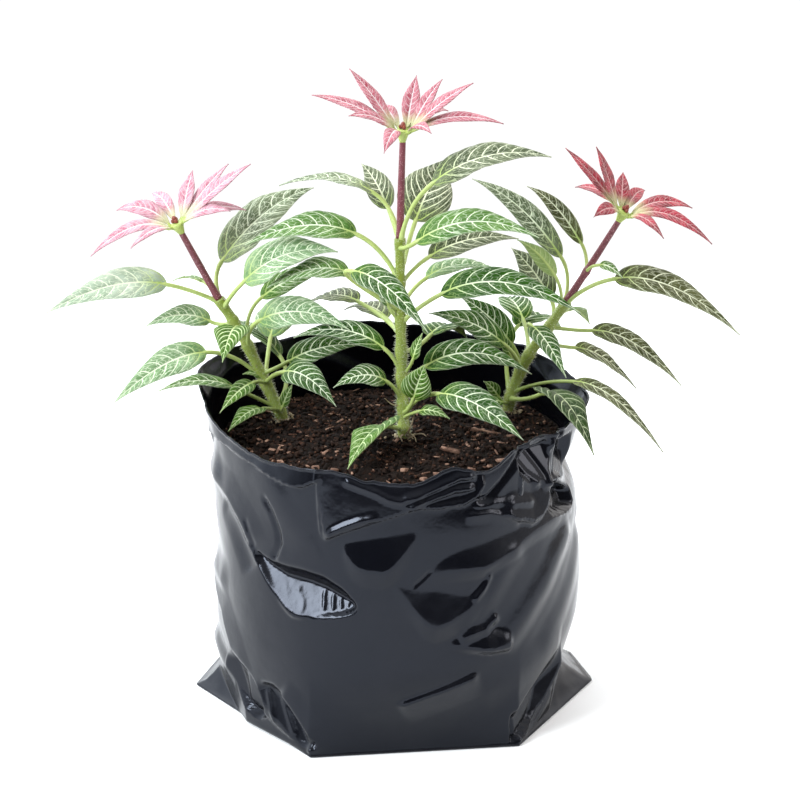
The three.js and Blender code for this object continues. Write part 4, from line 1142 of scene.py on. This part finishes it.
def outline_radius(outline, angle):
    dx, dy = np.cos(np.radians(angle)), np.sin(np.radians(angle))
    radius = np.zeros_like(dx)
    for k, (x0, y0) in enumerate(outline):
        x1, y1 = outline[(k + 1) % len(outline)]
        cross = dx * (y1 - y0) - dy * (x1 - x0)
        cross = np.where(np.abs(cross) < 1e-9, 1e-9, cross)
        along = (x0 * (y1 - y0) - y0 * (x1 - x0)) / cross
        part = (x0 * dy - y0 * dx) / cross
        hit = (along > 0) & (part >= -1e-9) & (part <= 1 + 1e-9)
        radius = np.where(hit, np.maximum(radius, along), radius)
    return radius


def rim_at(angle):
    """Radius and height of the top edge, eased between the listed points."""
    starts = np.array([row[0] for row in RIM] + [RIM[0][0] + 360.0])
    values = np.array([row[1:] for row in RIM] + [RIM[0][1:]], float)
    turn = (angle - starts[0]) % 360 + starts[0]
    k = np.clip(np.searchsorted(starts, turn, side="right") - 1, 0, len(RIM) - 1)
    t = smooth((turn - starts[k]) / (starts[k + 1] - starts[k]))
    return mix(values[k, 0], values[k + 1, 0], t), mix(values[k, 1], values[k + 1, 1], t)


def body_radius(angle, z):
    round_part = BAG_RADIUS + BODY_BULGE * np.sin(np.pi * np.minimum(1, z / SOIL_EDGE))
    radius = mix(outline_radius(BODY_OUTLINE, angle), round_part, smooth(z / FULL_ROUND_HEIGHT))
    for at, height, half_angle, half_height, depth in DENTS:
        across = bell(turn_between(angle, at) / half_angle)
        radius = radius + depth * across * bell((z - height) / half_height)
    return radius


def wall_radius(angle, z):
    """The body, and above the soil the flare to the top edge."""
    rim_radius, rim_height = rim_at(angle)
    neck = np.maximum(rim_height - NECK_DROP, SOIL_EDGE + NECK_ABOVE_SOIL)
    low = NECK_FLARE * np.clip((z - SOIL_EDGE) / (neck - SOIL_EDGE), 0, 1)
    high = (1 - NECK_FLARE) * np.clip((z - neck) / (rim_height - neck), 0, 1)
    return mix(body_radius(angle, z), rim_radius, low + high)


def fold_relief(angle, z, fold):
    """How far one fold lifts the film at each place."""
    points, height, left, right, sharp = fold
    best = np.full(angle.shape, 1e9)
    relief = np.zeros(angle.shape)
    lengths = [math.hypot((b[0] - a[0]) * ARC, b[1] - a[1]) for a, b in zip(points, points[1:])]
    passed = 0.0
    for (a0, z0), (a1, z1), length in zip(points, points[1:], lengths):
        dx, dz = (a1 - a0) * ARC / length, (z1 - z0) / length
        px, pz = turn_between(angle, a0) * ARC, z - z0
        along = np.clip(px * dx + pz * dz, 0, length)
        off = np.hypot(px - along * dx, pz - along * dz)
        beside = dx * pz - dz * px
        near = np.clip(1 - off / np.where(beside > 0, left, right), 0, 1)
        profile = smooth(near) if sharp == ROUNDED else near ** sharp
        share = (passed + along) / sum(lengths)
        taper = smooth(np.minimum(share, 1 - share) * TAPER)
        closeness = off - 1e-4 * np.abs(beside)      # past a bend, the side of the nearer line counts
        relief = np.where(closeness < best, height * taper * profile, relief)
        best = np.minimum(best, closeness)
        passed += length
    return relief


def line_height(angle, line, rounding):
    """Height of a line at each angle, its corners rounded off over some degrees."""
    at, height = zip(*line)
    return sum(np.interp(angle + rounding * share, at, height) for share in LINE_SHARES) / len(LINE_SHARES)


def soft_over(a, b, width):
    """The larger of the two, with the change from one to the other eased over some width."""
    return 0.5 * (a + b + np.sqrt((a - b) ** 2 + width ** 2))


def fade_at_ends(angle, line, width):
    """1 between the two ends of a line, easing to 0 at each."""
    return smooth((angle - line[0][0]) * ARC / width) * smooth((line[-1][0] - angle) * ARC / width)


def facet_relief(angle, z, facet):
    """How far one facet lifts the film at each place."""
    top, bottom, lean, lift, edge = facet
    high, low = line_height(angle, top, FACET_ROUNDING), line_height(angle, bottom, FACET_ROUNDING)
    within = fade_at_ends(angle, top, FACET_ENDS)
    drop = soft_over(high - soft_over(z, low, FACET_EASE), 0, FACET_EASE) - 0.5 * FACET_EASE
    out = lean * np.clip(drop, 0, None) + lift * smooth((high - z) / 2)
    return out * within * np.clip(1 - (low - z) / edge, 0, 1)


def press_in(angle, z, radius, pressed, anchor_radius):
    """The film's radius with one place pressed in to its flat floor."""
    upper, crease, lower, (bearing, rise), (anchor, height, lift), limit = pressed
    high, deepest, low = (line_height(angle, line, LINE_ROUNDING) for line in (upper, crease, lower))
    steep = np.hypot(1, np.gradient(low, axis=-1) / np.gradient(angle, axis=-1) / ARC)
    slope = math.tan(math.radians(rise))
    reach = (anchor_radius + lift) * math.cos(math.radians(anchor - bearing))
    turn = np.clip(turn_between(angle, bearing), -PRESS_TURN, PRESS_TURN)
    floor = (reach - slope * (np.minimum(z, deepest) - height)) / np.cos(np.radians(turn))
    depth = np.clip(floor - radius, -limit, PRESS_BULGE)
    wall = np.maximum(high - deepest, 0.8 * PRESS_EDGE * steep)
    inside = smooth((z - low) / (PRESS_EDGE * steep) + 0.5) * (1 - smooth((z - deepest) / wall))
    return radius + depth * inside * fade_at_ends(angle, upper, 2 * PRESS_EDGE)


def random_folds(rng):
    """Creases of the sides and the back, running slantwise."""
    folds = []
    for _ in range(RANDOM_FOLDS):
        angle = rng.uniform(*FOLD_ANGLE)
        z = rng.uniform(*FOLD_HEIGHT)
        slant = rng.choice((-1, 1)) * rng.uniform(*FOLD_SLANT)
        step = rng.uniform(*FOLD_LENGTH) / 3
        points = []
        for _ in range(4):
            points.append((angle, z))
            angle += step * math.cos(slant) / ARC
            z += step * math.sin(slant)
            slant += rng.uniform(*FOLD_BEND)
        folds.append((points, rng.uniform(*FOLD_RISE), rng.uniform(*FOLD_LEFT), rng.uniform(*FOLD_RIGHT),
                      rng.choice(FOLD_SHARPNESS)))
    return folds


ALL_FOLDS = FOLDS + random_folds(random.Random(SEED))


def slow_noise(angle, z, size, seed):
    """Gentle ups and downs over places round the bag, from -1 to 1."""
    flat = [noise.noise(Vector((math.cos(a) * BAG_RADIUS / size, math.sin(a) * BAG_RADIUS / size,
                                h / size + seed)))
            for a, h in zip(np.radians(angle).ravel(), z.ravel())]
    return np.array(flat).reshape(angle.shape)


def ripple(angle, z, patterns):
    return sum(height * slow_noise(angle, z, size, seed) for height, size, seed in patterns)


def film_at(angle, z):
    """Radius of the film's outer face at places round the bag."""
    radius = wall_radius(angle, z)
    relief = ripple(angle, z, FILM_RIPPLES)
    for fold in ALL_FOLDS:
        relief += fold_relief(angle, z, fold)
    for facet in FACETS:
        relief += facet_relief(angle, z, facet)
    radius = radius + relief * smooth(z / HEM_FADE)
    for pressed in PRESSED:
        anchor, height, lift = pressed[4]
        anchor_radius = float(wall_radius(np.array([float(anchor)]), np.array([float(height)]))[0])
        radius = press_in(angle, z, radius, pressed, anchor_radius)
    for wrinkle in WRINKLES:
        radius = radius + fold_relief(angle, z, wrinkle)
    return radius


# ---------------------------------------------------------------- bag and soil

FRONT_STEPS = 380                # columns of the film over its front half
BACK_STEPS = 120
WALL_STEPS = 134
INNER_STEPS = 21
FOOT_STEPS = 9                   # rings from the ears' edge to the foot of the wall
BOTTOM_SHARES = (0.0, 0.3, 0.6, 0.85)        # rings of the flat bottom, as shares of its outline
EAR_RINGS = ((-0.3, 0), (0, 0.3), (-0.1, 0.8))   # the bottom's edge, outward and up
FOOT_HEIGHT = 1.2
EAR_RISE = 11                    # how high up the body a bottom ear starts
EAR_WIDTH = 14                   # an ear this wide starts at the full height
BEAD = ((0.3, 0.15), (0.45, 0.5), (0.1, 0.85), (-0.45, 0.75))   # the rounded top edge, outward and up
LINING_GAP = 7                   # the hidden inner face keeps this far inside the outer one
LINING_HEIGHTS = (105, 92, 84, 79, 74, 66, 58, 45, 30, 15, 7)


def bag_angles():
    front = np.linspace(-180, 0, FRONT_STEPS, endpoint=False)
    back = np.linspace(0, 180, BACK_STEPS + 1)
    return np.concatenate([front, back])


def bag_rings(angle):
    """Rings of the film: from the middle of the bottom out to the ears, up the wall to the top
    edge, and down inside to the floor again."""
    zero = np.zeros_like(angle)
    rim_height = rim_at(angle)[1] + ripple(angle, zero, EDGE_RIPPLES)
    ear = outline_radius(EAR_OUTLINE, angle)
    low_body = outline_radius(BODY_OUTLINE, angle)
    foot = FOOT_HEIGHT + EAR_RISE * smooth((ear - low_body - 0.8) / EAR_WIDTH)

    rings = [(ear * share, zero) for share in BOTTOM_SHARES]
    rings += [(ear + out, zero + up) for out, up in EAR_RINGS]
    foot_radius = film_at(angle, foot)
    for k in range(1, FOOT_STEPS):
        share = k / FOOT_STEPS
        wrinkle = 0.6 * slow_noise(angle, zero + 30 * share, 7, 1) * math.sin(math.pi * share)
        height = mix(EAR_RINGS[-1][1], foot, share ** 1.6) + wrinkle * smooth(foot / 8)
        rings.append((mix(ear, foot_radius, share), height))
    for k in range(WALL_STEPS + 1):
        z = mix(foot, rim_height, k / WALL_STEPS)
        rings.append((film_at(angle, z), z))
    top = rings[-1][0]
    rings += [(top + out, rim_height + up) for out, up in BEAD]
    for k in range(INNER_STEPS + 1):
        z = mix(rim_height, zero + SOIL_EDGE - 5, k / INNER_STEPS)
        rings.append((film_at(angle, z) - FILM, z))
    rings += [(film_at(angle, zero + z) - LINING_GAP, zero + z) for z in LINING_HEIGHTS]
    low = rings[-1][0]
    return rings + [(low * 0.5, zero + 3), (zero, zero + 1.2)]


def wrapped(bm, angle, rings):
    """A grid wrapped round the upright axis: one column per angle, one row per ring."""
    columns, rows = len(angle) - 1, len(rings) - 1
    sheet = bmesh.ops.create_grid(bm, x_segments=columns, y_segments=rows, size=0.5)["verts"]
    cosines, sines = np.cos(np.radians(angle)), np.sin(np.radians(angle))
    for v in sheet:
        radius, height = rings[round((v.co.y + 0.5) * rows)]
        k = round((v.co.x + 0.5) * columns)
        v.co = (radius[k] * cosines[k], radius[k] * sines[k], height[k])
    bmesh.ops.remove_doubles(bm, verts=sheet, dist=MERGE)


def make_bag():
    angle = bag_angles()
    bm = bmesh.new()
    wrapped(bm, angle, bag_rings(angle))
    close_up(bm)
    add_piece("bag_film", bm, [film_finish()], "black_film", "grow_bag")


SOIL_ANGLES = np.linspace(-180, 180, 361)
SOIL_INSET = 0.9
SOIL_REACH = film_at(SOIL_ANGLES, np.full_like(SOIL_ANGLES, SOIL_EDGE)) - SOIL_INSET
SOIL_RINGS = 70
# The soil's hidden sides, as (distance inside the film, height), down to its flat bottom.
SOIL_WELL = ((2.2, 114), (9, 106)) + tuple((9, z) for z in (98, 92, 84, 79, 74, 66, 58, 45, 30, 12))
SOIL_BOTTOM = 4


def soil_height(x, y, reach):
    mound = SOIL_MOUND * smooth((1 - reach) * MOUND_STEEPNESS)
    lumps = np.sin(x * 0.21 + 1) * np.cos(y * 0.19) + 0.6 * np.sin(x * 0.43 + y * 0.37)
    return SOIL_EDGE + mound + SOIL_LUMP * lumps * smooth((1 - reach) * LUMP_STEEPNESS)


def clods(x, y):
    """Small lumps of the soil's surface."""
    flat = [sum(height * noise.noise(Vector((a / size, b / size, seed))) for height, size, seed in CLODS)
            for a, b in zip(x.ravel(), y.ravel())]
    return np.array(flat).reshape(x.shape)


def make_soil():
    angle = SOIL_ANGLES[::3]
    edge = np.interp(angle, SOIL_ANGLES, SOIL_REACH)
    zero = np.zeros_like(angle)
    rings = [(zero, zero + SOIL_BOTTOM)]
    rings += [(film_at(angle, zero + z) - inset, zero + z) for inset, z in reversed(SOIL_WELL)]
    for k in range(SOIL_RINGS):
        reach = 1 - k / (SOIL_RINGS - 1)
        x = reach * edge * np.cos(np.radians(angle))
        y = reach * edge * np.sin(np.radians(angle))
        rings.append((reach * edge, soil_height(x, y, reach) + clods(x, y)))
    bm = bmesh.new()
    wrapped(bm, angle, rings)
    close_up(bm)
    add_piece("soil_bed", bm, [soil_finish()], "soil", "potting_soil")
    make_crumbs()


def on_soil(x, y, lift, reach=None):
    """The place on the soil's surface at x and y; reach is its share of the way out to the film."""
    reach = math.hypot(x, y) / BAG_RADIUS if reach is None else reach
    return Vector((x, y, float(soil_height(x, y, reach)) + lift))


def anywhere_on_soil(rng, lift):
    angle = rng.uniform(-180, 180)
    reach = math.sqrt(rng.random()) * 0.985
    edge = float(np.interp(angle, SOIL_ANGLES, SOIL_REACH)) - 0.5
    x = reach * edge * math.cos(math.radians(angle))
    y = reach * edge * math.sin(math.radians(angle))
    return on_soil(x, y, lift, reach)


def random_turn(rng):
    axis = Vector([rng.gauss(0, 1) for _ in range(3)]).normalized()
    return Matrix.Rotation(rng.uniform(0, 2 * math.pi), 4, axis)


def add_crumbs(name, placings, material, rng, unevenness):
    """Crumbs of a few dozen faces, each with its own uneven skin."""
    def one_crumb(bm, placing):
        middle = placing.translation
        for v in bmesh.ops.create_icosphere(bm, subdivisions=1, radius=1, matrix=placing)["verts"]:
            v.co = middle + (v.co - middle) * rng.uniform(1 - unevenness, 1 + unevenness)

    add_piece(name, heap(placings, one_crumb), [material], "soil")


CHIP_BEVEL = 0.16


def add_chips(name, placings, material, rng):
    """Bark chips: thin blocks with bevelled edges, each corner moved in, out and along the chip a little at
    random.
    """
    bm = bmesh.new()
    for placing in placings:
        middle = placing.translation
        lengthwise = placing.col[0].to_3d()
        for v in bmesh.ops.create_cube(bm, size=2, matrix=placing)["verts"]:
            v.co = middle + (v.co - middle) * rng.uniform(0.72, 1.1) + lengthwise * rng.uniform(-0.2, 0.2)
    bmesh.ops.bevel(bm, geom=bm.edges[:], offset=CHIP_BEVEL, segments=1, profile=0.5, affect="EDGES",
                    material=-1)
    close_up(bm)
    add_piece(name, bm, [material], "soil")


# The chips that stand out: place on the soil, half length, half width and turn.
BIG_CHIPS = [
    (-50, -38, 3.6, 1.4, 1.7), (26, -30, 5.5, 1.5, 0.1), (40, -3, 7.5, 0.9, 0.12), (19, -56, 2.6, 1.6, 0.6),
    (4, -52, 2.0, 1.2, 1.2), (12, -60, 2.2, 1.1, 2.2), (-26, -50, 1.8, 1.2, 0.4), (-34, -46, 2.1, 0.9, 2.6),
    (33, -48, 1.9, 1.2, 0.2), (-12, -63, 1.7, 1.0, 1.0), (46, -36, 2.2, 1.0, 2.4),
]

# Pale side roots at the foot of the centre stem: the places that each one runs through, and its radius.
SIDE_ROOTS = [
    ([(4.5, -10, 126), (6.6, -12, 130.5), (8.2, -12.6, 135.6), (8.8, -13, 138.5)], 0.42),
    ([(5.5, -10.4, 126.5), (9, -13, 128), (12.2, -15, 129), (14, -15.5, 128)], 0.4),
    ([(3.5, -10.4, 127), (2.4, -15, 127.6), (3.2, -18.4, 126.6)], 0.45),
    ([(2.2, -9.4, 140.2), (-1.4, -11, 141.6), (-4.6, -12.4, 144.8)], 0.35),
    ([(5.6, -10, 128), (8.6, -14.4, 127.4), (9.4, -18.6, 126.4)], 0.35),
]


def make_side_roots(finish):
    bm = bmesh.new()
    for points, radius in SIDE_ROOTS:
        line = curve_through(points, 6)
        add_rod(bm, along_line(line, lambda share, at: radius * (1.25 - 0.8 * share)), 7, ribbing=0.06)
    close_up(bm)
    add_piece("centre_side_roots", bm, [finish], "soil")


CHIPS = 150
CHIP_THICKNESS = 0.8
ROOT_BITS = 46                   # round the foot of each stem


def turned(angle, axis):
    return Matrix.Rotation(angle, 4, axis)


def make_crumbs():
    rng = random.Random(SEED + 20)
    dark = crumb_finish("soil_crumbs_dark", (0.0025, 0.0014, 0.0010), (0.046, 0.021, 0.012))
    brown = crumb_finish("soil_crumbs_brown", (0.007, 0.003, 0.002), (0.155, 0.070, 0.040))
    bark = crumb_finish("bark_chips", (0.060, 0.026, 0.017), (0.60, 0.375, 0.27))
    pale = crumb_finish("pale_root_bits", (0.26, 0.20, 0.12), (0.66, 0.57, 0.42))
    for name, count, sizes, material, unevenness in (
        ("soil_crumbs_dark", 3400, (0.5, 1.7), dark, 0.32),
        ("soil_crumbs_brown", 1500, (0.4, 1.2), brown, 0.38),
        ("soil_crumbs_tan", 330, (0.3, 0.95), bark, 0.4),
    ):
        placings = []
        for _ in range(count):
            size = rng.uniform(*sizes) * rng.uniform(0.6, 1)
            stretch = Matrix.Diagonal((size * rng.uniform(0.8, 1.5), size, size * rng.uniform(0.6, 1), 1))
            placings.append(Matrix.Translation(anywhere_on_soil(rng, 0.55)) @ random_turn(rng) @ stretch)
        add_crumbs(name, placings, material, rng, unevenness)

    chips = []
    for x, y, length, width, turn in BIG_CHIPS:
        chips.append(Matrix.Translation(on_soil(x, y, 1.1)) @ turned(turn, "Z") @ turned(0.25, "Y")
                     @ Matrix.Diagonal((length, width, CHIP_THICKNESS, 1)))
    for _ in range(CHIPS):
        tilt = turned(rng.uniform(-0.5, 0.5), "X") @ turned(rng.uniform(-0.4, 0.4), "Y")
        size = (rng.uniform(0.8, 2.7), rng.uniform(0.35, 0.8), rng.uniform(0.25, 0.5), 1)
        chips.append(Matrix.Translation(anywhere_on_soil(rng, 0.8)) @ turned(rng.uniform(0, 6.3), "Z")
                     @ tilt @ Matrix.Diagonal(size))
    add_chips("soil_bark_chips", chips, bark, rng)

    bits = []
    for stem in STEMS.values():
        foot = Vector(stem["axis"][1])
        for _ in range(ROOT_BITS):
            turn = rng.uniform(0, 2 * math.pi)
            out = 2.4 + abs(rng.gauss(0, 1.9))
            x, y = foot.x + out * math.cos(turn), foot.y + out * math.sin(turn)
            at = on_soil(x, y, 0.8 + max(0, 3.2 - out) * rng.random())
            size = rng.uniform(0.25, 0.75)
            bits.append(Matrix.Translation(at) @ random_turn(rng)
                        @ Matrix.Diagonal((size * rng.uniform(1, 2.6), size, size, 1)))
    add_crumbs("soil_root_bits", bits, pale, rng, 0.4)
    make_side_roots(pale)


# ---------------------------------------------------------------- studio

FLOOR_RADIUS = 0.8
FLOOR_DROP = 0.0003              # keeps the floor just clear of the bag's bottom
# Bright parts of the studio round the object: direction of their middle, how far they reach
# (cosines of the angle where they start and where they are full), colour and strength.
GLOWS = [
    ((0.0, 0.1, 1.0), (0.25, 0.95), (1.0, 1.0, 1.0), 0.85),
    ((-0.86, 0.5, 0.12), (0.30, 0.90), (0.86, 0.93, 1.0), 2.4),
    ((0.9, 0.42, 0.10), (0.45, 0.95), (1.0, 0.95, 0.90), 0.90),
    ((0.0, 1.0, 0.05), (0.30, 0.95), (1.0, 1.0, 1.0), 0.55),
]
STUDIO_DARK = (0.16, 0.15, 0.15)
BACKDROP_STRENGTH = 1.05
# Soft lamps: name, place, size, power and colour. All of them face the plant.
LAMPS = [
    ("softbox_left", (-1.1, -0.9, 1.0), (0.5, 0.85), 32, (0.92, 0.97, 1.0)),
    ("softbox_right", (1.25, -0.45, 0.6), (0.4, 0.7), 5, (1.0, 0.95, 0.9)),
    ("softbox_top", (-0.1, 0.3, 1.5), (1.2, 1.0), 13, (1, 1, 1)),
]
LAMP_TARGET = (0, 0, 0.12)
CAMERA_PLACE = (0.0022, -0.9035, 0.43357)
CAMERA_TARGET = (0.0022, 0, 0.140)
LENS = 95
SENSOR = 36
VIEW_END = 50


def make_floor():
    bm = bmesh.new()
    bmesh.ops.create_circle(bm, cap_ends=True, segments=64, radius=FLOOR_RADIUS)
    bmesh.ops.translate(bm, verts=bm.verts, vec=(0, 0, -FLOOR_DROP))
    paper = Finish("white_paper", 0.9)
    paper.color(paper.blend(paper.cloud(paper.place(), 3.0), (0.88, 0.89, 0.90), (0.90, 0.91, 0.92)))
    paper.set(Emission_Color=(0.95, 0.98, 1.0), Emission_Strength=0.12)
    mesh = mesh_of("studio_floor", bm)
    mesh.materials.append(paper.material)
    floor = put_in_scene("studio_floor", mesh)


def make_world():
    """Plain white to the camera; for light and reflections bright above, behind and on the left,
    and dark where the camera stands."""
    world = bpy.data.worlds.new("studio_world")
    bpy.context.scene.world = world
    world.use_nodes = True
    studio = Nodes(world.node_tree)
    studio.tree.nodes.clear()

    way = studio.node("ShaderNodeTexCoord").outputs["Generated"]
    light = studio.node("ShaderNodeBackground", Color=STUDIO_DARK).outputs[0]
    for middle, (start, full), color, strength in GLOWS:
        facing = studio.in_order("ShaderNodeVectorMath", way, Vector(middle).normalized())
        facing.operation = "DOT_PRODUCT"
        glow = studio.ease(facing.outputs["Value"], start, full, 0.0, strength)
        more = studio.node("ShaderNodeBackground", Color=color, Strength=glow).outputs[0]
        light = studio.in_order("ShaderNodeAddShader", light, more).outputs[0]
    backdrop = studio.node("ShaderNodeBackground", Color=(1, 1, 1), Strength=BACKDROP_STRENGTH).outputs[0]
    to_camera = studio.node("ShaderNodeLightPath").outputs["Is Camera Ray"]
    seen = studio.in_order("ShaderNodeMixShader", to_camera, light, backdrop).outputs[0]
    studio.node("ShaderNodeOutputWorld", Surface=seen)


def aim(holder, place, target):
    holder.location = place
    holder.rotation_euler = (Vector(target) - Vector(place)).to_track_quat("-Z", "Y").to_euler()


def make_lamps():
    for name, place, size, power, color in LAMPS:
        lamp = bpy.data.lights.new(name, "AREA")
        lamp.shape = "RECTANGLE"
        lamp.size, lamp.size_y = size
        lamp.energy = power
        lamp.color = color
        aim(put_in_scene(name, lamp), place, LAMP_TARGET)


def make_camera():
    data = bpy.data.cameras.new("camera")
    data.lens = LENS
    data.sensor_width = SENSOR
    data.clip_end = VIEW_END
    camera = put_in_scene("camera", data)
    aim(camera, CAMERA_PLACE, CAMERA_TARGET)
    bpy.context.scene.camera = camera


# ---------------------------------------------------------------- the plant in its bag

make_camera()
make_world()
make_floor()
make_lamps()
bpy.context.scene.view_settings.view_transform = "Standard"

make_bag()
make_soil()
stalk_lines = {}
for side, stem in STEMS.items():
    line = make_stem(side, stem)
    stalk_lines[side] = make_stalk(side, stem)
    make_rosette(side, stem)
    grown = []
    for k, row in enumerate(LEAVES[side]):
        node = f"{side}_leaf_{k + 1:02d}"
        grown.append(make_leaf(f"{node}_veined", line, row, k, node))
    for k, row in enumerate(YOUNG_LEAVES[side]):
        grown.append(make_leaf(f"{side}_shoot_{k + 1}", line, row, k + FIRST_YOUNG, f"{side}_stem"))
    make_hairs(side, stem, line, grown)
for k, (node, row) in enumerate(STALK_LEAVES.items()):
    make_leaf(f"{node}_veined", stalk_lines["right"], row, k + FIRST_ON_STALK, node)
